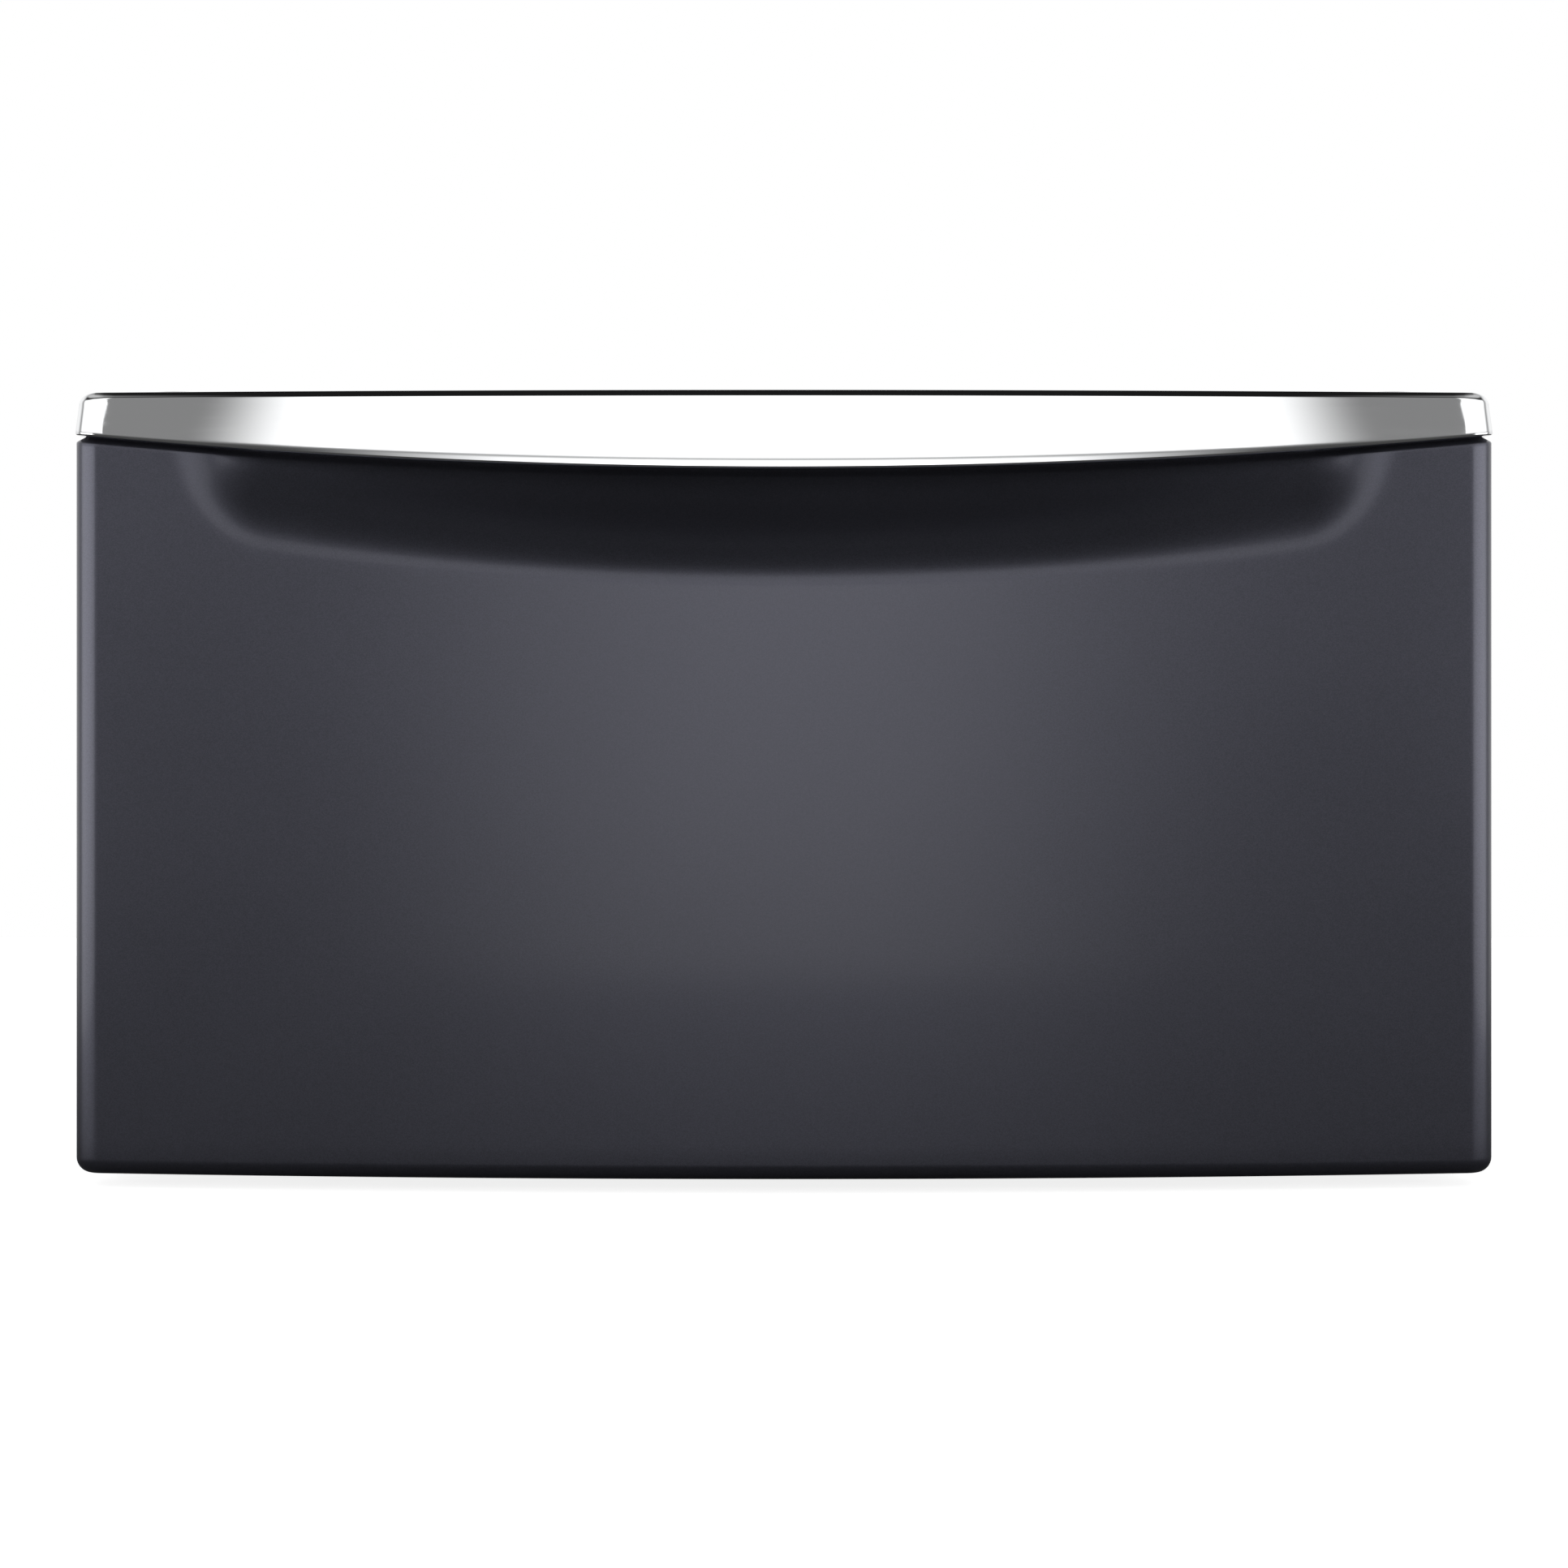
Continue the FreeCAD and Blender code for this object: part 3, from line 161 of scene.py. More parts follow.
def floor_finish():
    """Seamless white paper. What the camera sees of it is burnt out to white, up to the soft shadow under the
    pedestal, and what shines back up onto the pedestal is dim."""
    paper, nodes = finish("floor_paper", (0.9, 0.9, 0.9), 0.9, Emission_Strength=0.84)
    tree = paper.node_tree
    shader = tree.nodes["Principled BSDF"]
    shader.inputs["Emission Color"].default_value = (1.0, 1.0, 1.0, 1.0)
    dim = nodes.out(nodes.node("BsdfDiffuse", None, Color=(0.2, 0.2, 0.2, 1.0)))
    seen = nodes.out(nodes.node("LightPath"), "Is Camera Ray")
    paper_look = Socket(tree, shader.outputs[0])
    both = nodes.out(nodes.node("MixShader", None, i0=seen, i1=dim, i2=paper_look))
    tree.links.new(both.link, tree.nodes["Material Output"].inputs["Surface"])
    return paper


floor.data.materials.append(floor_finish())


def studio_light():
    """Light from all round, by direction: a wide box in front with soft ends and a brighter one below it that
    fades from its middle, one on each side with a sharp front edge, a soft one behind, dim grey between them,
    and nearly black overhead but for a strip at each side. The camera sees plain white instead."""
    world = bpy.data.worlds.new("studio")
    world.use_nodes = True
    bpy.context.scene.world = world
    nodes = Socket(world.node_tree, None)
    apart = nodes.node("SeparateXYZ", None, Vector=nodes.out(nodes.node("TexCoord"), "Generated"))
    across, back, up = [nodes.out(apart, k) for k in range(3)]
    in_front = (0.0 - back).step(-0.35, -0.05)
    turned = (across / (0.0 - back).most(0.0001)).size()
    high = up.step(0.10, 0.15) * up.step(0.32, 0.40, 1.0, 0.0)
    low = up.step(0.06, 0.12, 1.0, 0.0)
    front_box = turned.step(0.325, 0.424, 1.0, 0.0) * high * 1.25
    front_box = front_box + turned.step(0.03, 0.36, 1.0, 0.0) * low * 2.3
    side_box = (turned.above(0.53) * high * 1.1 + turned.step(0.72, 0.85) * low * 3.2) * in_front
    overhead = up.step(0.55, 0.65) * across.size().step(0.30, 0.55) * 0.6
    rear_box = back.step(0.25, 0.60) * up.step(0.50, 0.65, 1.0, 0.0) * 0.8
    light = up.step(0.38, 0.52, 0.27, 0.012) - low * 0.19 + front_box + side_box + rear_box + overhead
    seen = nodes.out(nodes.node("LightPath"), "Is Camera Ray")
    sky = world.node_tree.nodes["Background"]
    world.node_tree.links.new((seen.most(light * (1.0 - seen))).link, sky.inputs["Strength"])
    sky.inputs["Color"].default_value = (1.0, 1.0, 1.0, 1.0)


studio_light()


# ------------------------------------------------------------------ drawer front skin
# The pressed steel face of the drawer, painted in a dark blue-grey metallic. It is bowed across its width,
# rolled in along its rims, and has a finger scoop pressed into it below the handle.

HALF_WIDTH = 0.343
BOW = 0.030
EDGE_R = 0.014
FRONT_BACK_Y = -0.272
FRONT_TOP = 0.3835
FRONT_BOTTOM = 0.006
HANDLE_MIDDLE = 0.0377  # the handle's height at the middle, and how much less it is at the ends
HANDLE_TAPER = 0.0172
SCOOP_HALF = 0.302
SCOOP_FLOOR = FRONT_TOP - 0.097
SCOOP_RISE = 0.245
SCOOP_CORNER = 0.054
SCOOP_RAMP = 0.056
SCOOP_LEAN = 0.092
SCOOP_STEEP_SHARE = 0.45


def smooth(t):
    """0 below 0, 1 above 1, and a smooth cubic step between."""
    t = np.clip(t, 0.0, 1.0)
    return t * t * (3.0 - 2.0 * t)


def easing(t):
    """The same with a gentler start and end: a quintic step."""
    t = np.clip(t, 0.0, 1.0)
    return t**3 * (10.0 - 15.0 * t + 6.0 * t**2)


def plan_outline(half, apex_y, spots):
    """Points and outward normals round the front's plan, for spots from -1, the left rear corner, to 1, the
    right one: a shallow arc across the front, a quarter turn of EDGE_R at each end, and a straight side."""
    radius = (half**2 + BOW**2) / (2.0 * BOW)
    reach = radius - EDGE_R
    corner_x = half - EDGE_R
    centre_y = apex_y + radius
    corner_y = centre_y - np.sqrt(reach**2 - corner_x**2)
    end = np.arcsin(corner_x / reach)
    bow_run, turn_run, side_run = radius * end, EDGE_R * (np.pi / 2.0 - end), FRONT_BACK_Y - corner_y
    along = np.abs(spots) * (bow_run + turn_run + side_run)
    on_bow = np.clip(along, 0.0, bow_run) / radius
    on_turn = np.clip(along - bow_run, 0.0, turn_run) / EDGE_R
    on_side = np.clip(along - bow_run - turn_run, 0.0, side_run)
    turning = along > bow_run
    angle = np.where(turning, end + on_turn, on_bow)
    x = np.where(turning, corner_x + EDGE_R * np.sin(angle), radius * np.sin(on_bow))
    y = np.where(turning, corner_y - EDGE_R * np.cos(angle), centre_y - radius * np.cos(on_bow)) + on_side
    left = np.where(spots < 0, -1.0, 1.0)
    return x * left, y, np.sin(angle) * left, -np.cos(angle)


def handle_low(x):
    """Height of the handle's lower edge, a shallow parabola."""
    return FRONT_TOP - HANDLE_MIDDLE + HANDLE_TAPER * (x / HALF_WIDTH) ** 2


def scoop_share(x, z):
    """Depth of the finger scoop from 0 to 1, by the distance inside an outline with two rounded lower corners
    and a floor that curves up towards the ends: nearly half of it is a steep ramp, the rest a gentler one."""
    side = SCOOP_CORNER - (SCOOP_HALF - np.abs(x))
    floor_way = SCOOP_CORNER - (z - SCOOP_FLOOR - SCOOP_RISE * x**2)
    outside = np.hypot(np.maximum(side, 0.0), np.maximum(floor_way, 0.0))
    outside = outside + np.minimum(np.maximum(side, floor_way), 0.0)
    inside = SCOOP_CORNER - outside
    steep, gentle = easing(inside / SCOOP_RAMP), easing(inside / SCOOP_LEAN)
    return SCOOP_STEEP_SHARE * steep + (1.0 - SCOOP_STEEP_SHARE) * gentle


def grid_mesh(name, points, loop=False, caps=False):
    """A mesh from a grid of points. Columns run round the piece, and rows run along its section. loop joins
    the last row to the first, and caps closes the two end columns of a loop that folds back beside itself."""
    columns, rows = points.shape[:2]
    index = np.arange(columns * rows).reshape(columns, rows)
    round_index = np.concatenate([index, index[:, :1]], axis=1) if loop else index
    a, b = round_index[:-1, :-1], round_index[1:, :-1]
    c, d = round_index[1:, 1:], round_index[:-1, 1:]
    quads = [np.stack([a, b, c, d], axis=-1).reshape(-1, 4)]
    if caps:
        half = rows // 2
        for end, turned in ((index[0], False), (index[-1], True)):
            out, back = end[:half], end[half:][::-1]
            cap = np.stack([out[:-1], out[1:], back[1:], back[:-1]], axis=-1)
            quads.append(cap[:, ::-1] if turned else cap)
    quads = np.concatenate(quads)
    mesh = bpy.data.meshes.new(name)
    mesh.from_pydata(points.reshape(-1, 3).tolist(), [], quads.tolist())
    mesh.polygons.foreach_set("use_smooth", np.ones(len(quads), bool))
    made = bpy.data.objects.new(name, mesh)
    bpy.context.scene.collection.objects.link(made)
    return made


def spread(*legs):
    """Places along a line, from legs of (end, count) that follow on from 0."""
    spots, start = [np.zeros(1)], 0.0
    for end, count in legs:
        spots.append(np.linspace(start, end, count + 1)[1:])
        start = end
    return np.concatenate(spots)


SEAT = 0.0048
SEAM_GAP = 0.0018
SEAM_ROLL = 0.0018
BOTTOM_R = 0.0075
SKIN_TOP = 0.3772
PLAN_HALF = 0.3724  # the front's half length, measured round its plan
FINE_FROM = 0.340  # above this height the rows follow the seam
SKIN_TOP_R = 0.002
SKIN_APEX_Y = -0.335
SCOOP_BACK_Y = -0.298
PAINTED_SHEET = 0.0008


def skin_section(x):
    """(inset, height) arrays up the skin's section at each x: a quarter roll at the bottom, the flat face, a
    smooth step back under the handle, the seat band, and a quarter roll at the top."""
    x = x[:, None]
    seam = handle_low(x) - SEAM_GAP
    turn = np.linspace(np.pi / 2.0, 0.0, 13)[None, :]
    bottom = BOTTOM_R * (1.0 - np.cos(turn)), FRONT_BOTTOM + BOTTOM_R * (1.0 - np.sin(turn))
    low_end = FRONT_BOTTOM + BOTTOM_R
    low = [np.linspace(low_end, 0.275, 30)[1:], np.linspace(0.275, FINE_FROM, 58)[1:]]
    low = np.concatenate(low)[None, :]
    up = np.linspace(0.0, 1.0, 13)[None, 1:]
    face = FINE_FROM + (seam - SEAM_ROLL - FINE_FROM) * up
    step = np.linspace(0.0, 1.0, 15)[None, 1:]
    seat = np.linspace(0.0, 1.0, 7)[None, 1:]
    band = seam + SEAM_ROLL + (SKIN_TOP - SKIN_TOP_R - seam - SEAM_ROLL) * seat
    over = np.linspace(0.0, np.pi / 2.0, 8)[None, 1:]
    flat = np.zeros_like(x)
    inset = [flat + bottom[0], flat + 0.0 * low, flat + 0.0 * up, flat + SEAT * smooth(step)]
    inset += [flat + SEAT + 0.0 * seat, flat + SEAT + SKIN_TOP_R * (1.0 - np.cos(over))]
    height = [flat + bottom[1], flat + low, face, seam - SEAM_ROLL + 2.0 * SEAM_ROLL * step, band]
    height += [flat + SKIN_TOP - SKIN_TOP_R + SKIN_TOP_R * np.sin(over)]
    return np.concatenate(inset, axis=1), np.concatenate(height, axis=1)


def skin_points():
    """The section, carried round the plan outline along its normals and pushed back by the scoop. Flat
    returns at the bottom and top join the section's two ends to the straight rear edge."""
    half = spread((0.225, 45), (0.302, 56), (0.331, 8), (0.352, 18), (PLAN_HALF, 6)) / PLAN_HALF
    spots = np.concatenate([-half[:0:-1], half])
    x, y, nx, ny = plan_outline(HALF_WIDTH, SKIN_APEX_Y, spots)
    inset, height = skin_section(x)
    share = scoop_share(x[:, None], height)
    in_scoop = height >= SCOOP_FLOOR
    kept = np.where(in_scoop, inset - np.minimum(inset, SEAT) * share, inset)
    px = x[:, None] - kept * nx[:, None]
    pushed = (SCOOP_BACK_Y - y[:, None]) * share
    py = np.minimum(y[:, None] - kept * ny[:, None] + pushed, FRONT_BACK_Y)
    points = np.stack([px, py, height], axis=-1)
    returns = []
    for edge in (points[:, :1], points[:, -1:]):
        back = edge.copy()
        back[:, 0, 0] = spots * np.abs(edge[:, 0, 0]).max()
        back[:, 0, 1] = FRONT_BACK_Y
        share = np.linspace(0.0, 1.0, 5)[None, 1:, None]
        returns.append(edge * (1.0 - share) + back * share)
    return np.concatenate([returns[0][:, ::-1], points, returns[1]], axis=1)


def add_wall(piece, thickness):
    """Gives a sheet its thickness, inwards from its outer face."""
    weld = piece.modifiers.new("weld", "WELD")
    weld.merge_threshold = 0.000002
    wall = piece.modifiers.new("wall", "SOLIDIFY")
    wall.thickness = thickness
    wall.offset = -1.0


def feed(material, **inputs):
    """Links worked-out values to the Principled shader's varying inputs."""
    shader = material.node_tree.nodes["Principled BSDF"]
    for key, value in inputs.items():
        material.node_tree.links.new(value.link, shader.inputs[key.replace("_", " ")])


def place_on(nodes):
    """The Object coordinates of the surface, and its X, Y and Z."""
    spot = nodes.out(nodes.node("TexCoord"), "Object")
    apart = nodes.node("SeparateXYZ", None, Vector=spot)
    return spot, [nodes.out(apart, k) for k in range(3)]


def noise(nodes, spot, scale, detail=2.0, roughness=0.5, stretch=None):
    """Fractal noise from 0 to 1, with its cells stretched along an axis where that is asked."""
    if stretch:
        spot = nodes.out(nodes.node("Mapping", None, Vector=spot, Scale=stretch))
    made = nodes.node("TexNoise", None, Vector=spot, Scale=scale, Detail=detail, Roughness=roughness)
    return nodes.out(made)


def bump(nodes, height, distance, strength=1.0):
    made = nodes.node("Bump", None, Strength=strength, Distance=distance, Height=height)
    return nodes.out(made)


def slate_paint(name):
    """Dark blue-grey metallic paint under a clear coat: fine flakes glitter in it, and sprayed paint keeps a
    faint orange-peel ripple."""
    paint, nodes = finish(name, (0.0, 0.0, 0.0), 0.4, 0.75, Coat_Roughness=0.08, Coat_IOR=1.5)
    spot, _ = place_on(nodes)
    flakes = nodes.out(nodes.node("TexVoronoi", None, Vector=spot, Scale=2600.0), "Color")
    flake = nodes.out(nodes.node("SeparateColor", None, Color=flakes), 0)
    cloud = noise(nodes, spot, 9.0, 3.0)
    shade = (flake * 0.7 + cloud * 0.3).blend((0.060, 0.061, 0.078, 1.0), (0.088, 0.089, 0.114, 1.0))
    peel = noise(nodes, spot, 420.0, 1.5)
    feed(
        paint,
        Base_Color=shade,
        Roughness=flake * 0.06 + cloud * 0.04 + 0.30,
        Coat_Weight=cloud * 0.1 + 0.12,
        Normal=bump(nodes, peel, 0.00003, 0.35),
    )
    return paint


front_skin = grid_mesh("front_skin", skin_points())
add_wall(front_skin, PAINTED_SHEET)
body_paint = slate_paint("slate_paint")
front_skin.data.materials.append(body_paint)
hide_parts("drawer_front_skin")
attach(front_skin, "drawer")


# ------------------------------------------------------------------ handle
# A moulded bar plated in bright chrome, which runs across the top of the drawer front and round its corners.
# Its face is lens-shaped and leans back a little, and its lower edge turns in as a lip for the fingers.

HANDLE_HALF = 0.3432
HANDLE_APEX_Y = -0.3379
HANDLE_WALL = 0.0024
HANDLE_DRAFT = 0.0018
HANDLE_TOP_R = 0.0036
HANDLE_LOW_R = 0.0011
HANDLE_TOP_DEPTH = 0.0125
HANDLE_BACK_Y = -0.275
END_TOP_EXTRA = 0.0024  # added to the top rounder where the bar turns the corner
LIP_MIDDLE = 0.011
LIP_END = 0.0044


def handle_section(x, wall):
    """(inset, height) arrays of the bar's section at each x, a wall inside its surface: flat top, quarter
    round, straight leaning face, quarter round, and the lip."""
    x = x[:, None]
    top, low = FRONT_TOP - wall, handle_low(x) + wall
    top_r = HANDLE_TOP_R + END_TOP_EXTRA * smooth((np.abs(x) - HANDLE_HALF + EDGE_R) / EDGE_R) - wall
    low_r = max(HANDLE_LOW_R - wall, 0.0008)
    rim = HANDLE_DRAFT + wall + top_r
    lip = LIP_END + (LIP_MIDDLE - LIP_END) * smooth((0.270 - np.abs(x)) / 0.040)
    flat = np.zeros_like(x)
    back = np.linspace(0.0, 1.0, 4)[None, :-1]
    over = np.linspace(np.pi / 2.0, 0.0, 14)[None, :]
    down = np.linspace(0.0, 1.0, 9)[None, 1:]
    under = np.linspace(0.0, np.pi / 2.0, 11)[None, 1:]
    inwards = np.linspace(0.0, 1.0, 5)[None, 1:]
    high, bottom = top - top_r, low + low_r
    inset = [flat + HANDLE_TOP_DEPTH + (rim - HANDLE_TOP_DEPTH) * back, flat + rim - top_r * np.cos(over)]
    inset += [flat + wall + HANDLE_DRAFT * (1.0 - down), flat + wall + low_r * (1.0 - np.cos(under))]
    inset += [wall + low_r + (lip - wall - low_r) * inwards]
    height = [flat + top + 0.0 * back, flat + top - top_r * (1.0 - np.sin(over))]
    height += [high + (bottom - high) * down, bottom - low_r * np.sin(under), low + 0.0 * inwards]
    return np.concatenate(inset, axis=1), np.concatenate(height, axis=1)


def handle_points():
    """The outer section, then the inner one backwards, as one loop carried round the plan outline."""
    half = spread((0.331, 64), (0.352, 26), (PLAN_HALF, 8)) / PLAN_HALF
    spots = np.concatenate([-half[:0:-1], half])
    x, y, nx, ny = plan_outline(HANDLE_HALF, HANDLE_APEX_Y, spots)
    y = np.where(np.abs(spots) > 0.999, HANDLE_BACK_Y, np.minimum(y, HANDLE_BACK_Y))
    outer, inner = handle_section(x, 0.0), handle_section(x, HANDLE_WALL)
    inset = np.concatenate([outer[0], inner[0][:, ::-1]], axis=1)
    height = np.concatenate([outer[1], inner[1][:, ::-1]], axis=1)
    return np.stack([x[:, None] - inset * nx[:, None], y[:, None] - inset * ny[:, None], height], axis=-1)


def chrome(name):
    """Bright chrome plating, with the faintest wipe marks along the bar."""
    plate, nodes = finish(name, (0.80, 0.81, 0.82), 0.04, 1.0)
    spot, _ = place_on(nodes)
    wipes = noise(nodes, spot, 60.0, 3.0, stretch=(0.25, 1.0, 3.0))
    smears = noise(nodes, spot, 14.0, 2.0)
    shade = smears.blend((0.78, 0.79, 0.80, 1.0), (0.83, 0.835, 0.84, 1.0))
    feed(plate, Base_Color=shade, Roughness=wipes.step(0.45, 0.75, 0.035, 0.07))
    return plate


handle = grid_mesh("handle_bar", handle_points()[:, ::-1], loop=True, caps=True)
bright_chrome = chrome("bright_chrome")
handle.data.materials.append(bright_chrome)
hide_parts("handle")
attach(handle, "drawer")


# ------------------------------------------------------------------ handle carrier
# A black ABS moulding that fills the handle from behind: a lid over the scoop, a grip bar, and five towers
# that screws are driven into from inside the drawer front.


def dress(material, *names):
    """Gives CAD pieces their finish. Their triangles are joined, and shade smoothly round bends."""
    for name in names:
        node = frame["nodes"][name]
        node.data.materials.clear()
        node.data.materials.append(material)
        node.data.polygons.foreach_set("use_smooth", np.ones(len(node.data.polygons), bool))
        node.modifiers.new("weld", "WELD").merge_threshold = 0.00001
        node.modifiers.new("edges", "EDGE_SPLIT").split_angle = np.radians(28.0)
        node.modifiers.new("even", "WEIGHTED_NORMAL").keep_sharp = True


def moulded(name, colour, roughness, grain_scale=900.0, grain_depth=0.00006):
    """Moulded plastic: the spark-eroded grain of its mould, and the faint cloudiness of handling."""
    made, nodes = finish(name, colour, roughness, Specular_IOR_Level=0.4)
    spot, _ = place_on(nodes)
    grain = noise(nodes, spot, grain_scale, 3.0)
    cloud = noise(nodes, spot, 18.0, 2.0)
    dark = tuple(c * 0.8 for c in colour) + (1.0,)
    light = tuple(c * 1.15 for c in colour) + (1.0,)
    feed(
        made,
        Base_Color=(grain * 0.5 + cloud * 0.5).blend(dark, light),
        Roughness=cloud * 0.12 + grain * 0.05 + roughness - 0.08,
        Normal=bump(nodes, grain, grain_depth, 0.5),
    )
    return made


dress(moulded("black_abs", (0.018, 0.018, 0.019), 0.5), "handle_carrier")


# ------------------------------------------------------------------ drawer box and inner front
# Folded from hot-dip galvanised sheet: the front's inner wall and its two stiffeners, the sides with their
# rolled rims, the ribbed bottom and the back. Zinc left to set in the air grows flat crystals, the spangle.

DRAWER_SHEET = ("front_inner_panel", "front_stiffeners", "drawer_side_left", "drawer_side_right")
DRAWER_FLOOR = ("drawer_bottom", "drawer_back")


def galvanised(name, colour, roughness, crystal=0.011, rolled=(1.0, 1.0, 1.0)):
    """Galvanised sheet: flat crystals of slightly different greys and gloss, with feathered edges, fine
    rolling lines, and a dulling film in patches."""
    zinc, nodes = finish(name, colour, roughness, 0.85)
    spot, _ = place_on(nodes)
    ragged = noise(nodes, spot, 260.0, 2.0)
    sideways = nodes.out(nodes.node("CombineXYZ", None, X=ragged, Y=ragged))
    push = nodes.out(nodes.node("VectorMath", {"operation": "SCALE"}, i0=sideways, Scale=0.0035))
    shifted = nodes.out(nodes.node("VectorMath", {"operation": "ADD"}, i0=spot, i1=push))
    cells = nodes.out(nodes.node("TexVoronoi", None, Vector=shifted, Scale=1.0 / crystal), "Color")
    cell = nodes.out(nodes.node("SeparateColor", None, Color=cells), 0)
    lines = noise(nodes, spot, 500.0, 2.0, stretch=rolled)
    film = noise(nodes, spot, 5.0, 4.0).step(0.45, 0.7)
    dark = tuple(c * 0.78 for c in colour) + (1.0,)
    shade = (cell * 0.65 + lines * 0.2 + film * 0.15).blend(dark, (*colour, 1.0))
    feed(
        zinc,
        Base_Color=shade,
        Roughness=cell * 0.14 + lines * 0.06 + film * 0.08 + roughness - 0.12,
        Normal=bump(nodes, lines, 0.00001, 0.3),
    )
    return zinc


dress(galvanised("drawer_sheet", (0.56, 0.57, 0.59), 0.44, 0.010, (1.0, 0.04, 1.0)), *DRAWER_SHEET)
dress(galvanised("drawer_floor_sheet", (0.58, 0.59, 0.61), 0.42, 0.012, (0.04, 1.0, 1.0)), *DRAWER_FLOOR)


# ------------------------------------------------------------------ divider
# A wall moulded in light grey polypropylene, with ribs on both faces. Its hooks ride on the rolled rims of
# the box, so it slides forwards and back.

divider_grey = moulded("grey_polypropylene", (0.42, 0.43, 0.44), 0.46, 700.0, 0.00004)
dress(divider_grey, "drawer_divider")


# ------------------------------------------------------------------ slides
# Full-extension ball-bearing slides, roll-formed in bright zinc-plated steel. The balls sit in pressed
# cages, in tracks with a film of amber grease, and a plastic lever unhooks the drawer.

SLIDE_Z = 0.150


def slide_zinc(name, track):
    """Bright zinc with the long scratches of the roll-forming, and grease in two bands track above and below
    the slide's middle."""
    plate, nodes = finish(name, (0.62, 0.63, 0.65), 0.3, 0.95, Coat_Roughness=0.15)
    spot, (_, _, z) = place_on(nodes)
    scratches = noise(nodes, spot, 900.0, 3.0, stretch=(1.0, 0.015, 1.0))
    clouds = noise(nodes, spot, 26.0, 3.0)
    steel = (scratches * 0.6 + clouds * 0.4).blend((0.50, 0.51, 0.54, 1.0), (0.72, 0.73, 0.75, 1.0))
    off_track = ((z - SLIDE_Z).size() - track).size()
    grease = off_track.step(0.0012, 0.0034, 1.0, 0.0) * noise(nodes, spot, 45.0, 2.0).step(0.30, 0.62)
    feed(
        plate,
        Base_Color=(grease * 0.8).blend(steel, (0.42, 0.30, 0.13, 1.0)),
        Roughness=scratches * 0.18 + clouds * 0.06 + 0.18,
        Coat_Weight=grease * 0.8,
        Normal=bump(nodes, scratches, 0.00001, 0.3),
    )
    return plate


for side in ("left", "right"):
    dress(slide_zinc("slide_outer_zinc_" + side, 0.0205), "slide_outer_" + side)
    dress(slide_zinc("slide_middle_zinc_" + side, 0.0160), "slide_middle_" + side)
    dress(slide_zinc("slide_inner_zinc_" + side, 0.0118), "slide_inner_" + side)
    dress(slide_zinc("cage_outer_zinc_" + side, 0.0195), "ball_cage_outer_" + side)
    dress(slide_zinc("cage_inner_zinc_" + side, 0.0150), "ball_cage_inner_" + side)
    lever_nylon = moulded("lever_nylon_" + side, (0.025, 0.025, 0.026), 0.42, 1200.0, 0.00002)
    dress(lever_nylon, "release_lever_" + side)


# ------------------------------------------------------------------ cabinet panels
# The two sides and the lid are painted like the front, before they are assembled. The rear wall is left
# galvanised, with two large pressed fields that stiffen it.

dress(body_paint, "side_panel_left", "side_panel_right", "deck")
dress(galvanised("rear_sheet", (0.57, 0.58, 0.60), 0.46, 0.014, (1.0, 1.0, 0.04)), "rear_panel")


# ------------------------------------------------------------------ frame
# Heavier galvanised sections under the panels: corner posts, base rails, two beams that carry the washer's
# seats, the top rail at the front, and the brackets that hold the slides.

FRAME = ["deck_beam_front", "deck_beam_rear", "front_top_rail", "base_rail_front", "base_rail_rear"]
for side in ("left", "right"):
    FRAME += ["base_rail_" + side, "slide_bracket_" + side]
    FRAME += ["corner_post_front_" + side, "corner_post_rear_" + side]
dress(galvanised("frame_sheet", (0.52, 0.53, 0.55), 0.48, 0.017, (0.3, 1.0, 0.3)), *FRAME)


# ------------------------------------------------------------------ screws and weld nuts
# Hex-washer screws, slide screws and weld nuts, zinc plated and passivated, which tints them faintly blue
# and yellow.


def passivated(name, roughness=0.26):
    """Zinc plate whose clear passivation drifts between blue and straw tints, with fine scratches."""
    plate, nodes = finish(name, (0.66, 0.67, 0.69), roughness, 1.0)
    spot, _ = place_on(nodes)
    tint = noise(nodes, spot, 120.0, 2.0).step(0.38, 0.62)
    scratches = noise(nodes, spot, 2200.0, 2.0)
    feed(
        plate,
        Base_Color=tint.blend((0.60, 0.64, 0.70, 1.0), (0.72, 0.69, 0.58, 1.0)),
        Roughness=scratches * 0.16 + roughness - 0.06,
    )
    return plate


fastener_zinc = passivated("fastener_zinc")
FASTENERS = [part["node"] for part in frame["record"]["subparts"] if "screws" in part["node"]]
dress(fastener_zinc, "weld_nuts", *FASTENERS)


# ------------------------------------------------------------------ bumpers and feet
# Rubber buttons stop the drawer softly. Each foot is a rubber pad on a threaded stud, which screws into a
# weld nut in the base rail and is locked by a jam nut.

rubber = moulded("black_rubber", (0.022, 0.022, 0.022), 0.72, 500.0, 0.00008)
dress(rubber, "drawer_bumpers")

STUD_ROUND = 48
HEX_HALF = 0.0085
SHANK_R = 0.0050
THREAD_PITCH = 0.0015
THREAD_DEPTH = 0.00085


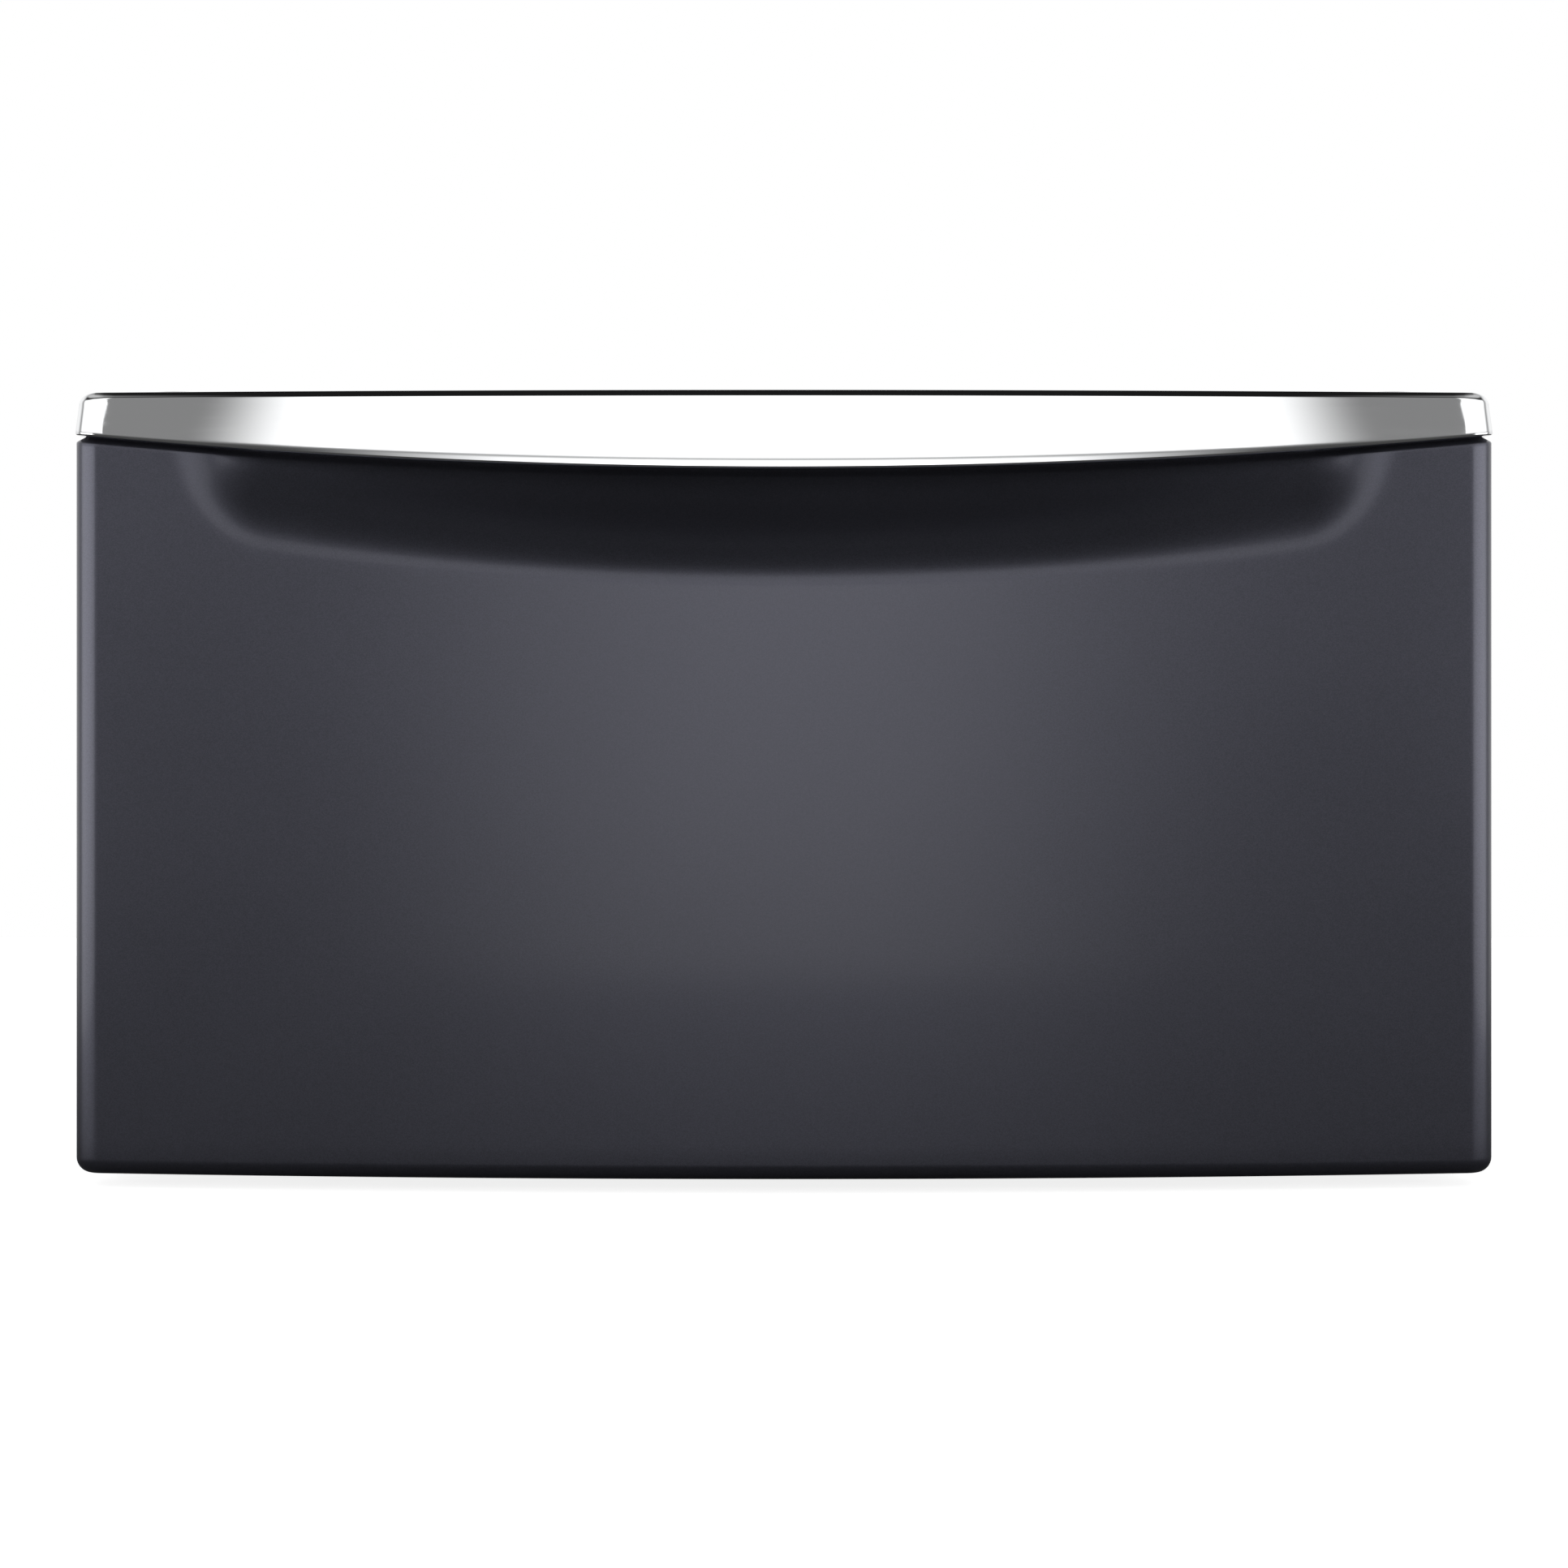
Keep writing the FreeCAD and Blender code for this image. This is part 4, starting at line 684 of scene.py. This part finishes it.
def stud_points(x, y):
    """Rings of points up the stud round (x, y). A ring's radius is its round radius, or at the wrench hex a
    hexagon's (half its width over flats divided by the cosine of the angle from the nearest flat), less the
    thread: a triangle wave of height over pitch minus the share of the turn."""
    turn = np.arange(STUD_ROUND) * 2.0 * np.pi / STUD_ROUND
    from_flat = (turn + np.pi / 6.0) % (np.pi / 3.0) - np.pi / 6.0
    hexagon = HEX_HALF / np.cos(from_flat)
    base = [(0.0030, 0.0, 0), (0.0030, 0.0076, 0), (0.0033, 0.00792, 0), (0.0073, 0.00792, 0)]
    base += [(0.0076, 0.0076, 0), (0.0076, 0.0048, 0), (0.0084, 0.0048, 0), (0.0084, 0.0080, 0)]
    base += [(0.0088, 0.0, 1), (0.0134, 0.0, 1)]
    base += [(0.0138, 0.0080, 0), (0.0138, SHANK_R, 0)]
    height, radius, is_hex = np.array(base).T
    up = np.linspace(0.0139, 0.0489, 211)
    shank = up, np.full_like(up, SHANK_R), np.zeros_like(up)
    tip = np.array([(0.0490, SHANK_R, 0), (0.0500, 0.0040, 0), (0.0500, 0.0, 0)]).T
    height, radius, is_hex = [np.concatenate(three) for three in zip((height, radius, is_hex), shank, tip)]
    cut = smooth((height - 0.0140) / 0.0012) * smooth((0.0486 - height) / 0.0008)
    wave = np.abs(2.0 * ((height[:, None] / THREAD_PITCH - turn / (2.0 * np.pi)) % 1.0) - 1.0)
    r = np.where(is_hex[:, None] > 0.5, hexagon, radius[:, None]) - THREAD_DEPTH * cut[:, None] * wave
    return np.stack([x + r * np.cos(turn), y + r * np.sin(turn), height[:, None] + 0.0 * r], axis=-1)


stud_zinc = passivated("stud_zinc", 0.3)
for corner in ("front_left", "front_right", "rear_left", "rear_right"):
    stud_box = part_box("foot_stud_" + corner)
    x, y, _ = (stud_box[0] + stud_box[1]) / 2.0
    stud = grid_mesh("levelling_stud_" + corner, stud_points(x, y)[:, ::-1], loop=True)
    stud.modifiers.new("weld", "WELD").merge_threshold = 0.000005
    stud.modifiers.new("edges", "EDGE_SPLIT").split_angle = np.radians(30.0)
    stud.data.materials.append(stud_zinc)
    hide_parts("foot_stud_" + corner)
    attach(stud, "foot_stud_" + corner)
    dress(rubber, "foot_pad_" + corner)
    dress(fastener_zinc, "jam_nut_" + corner)
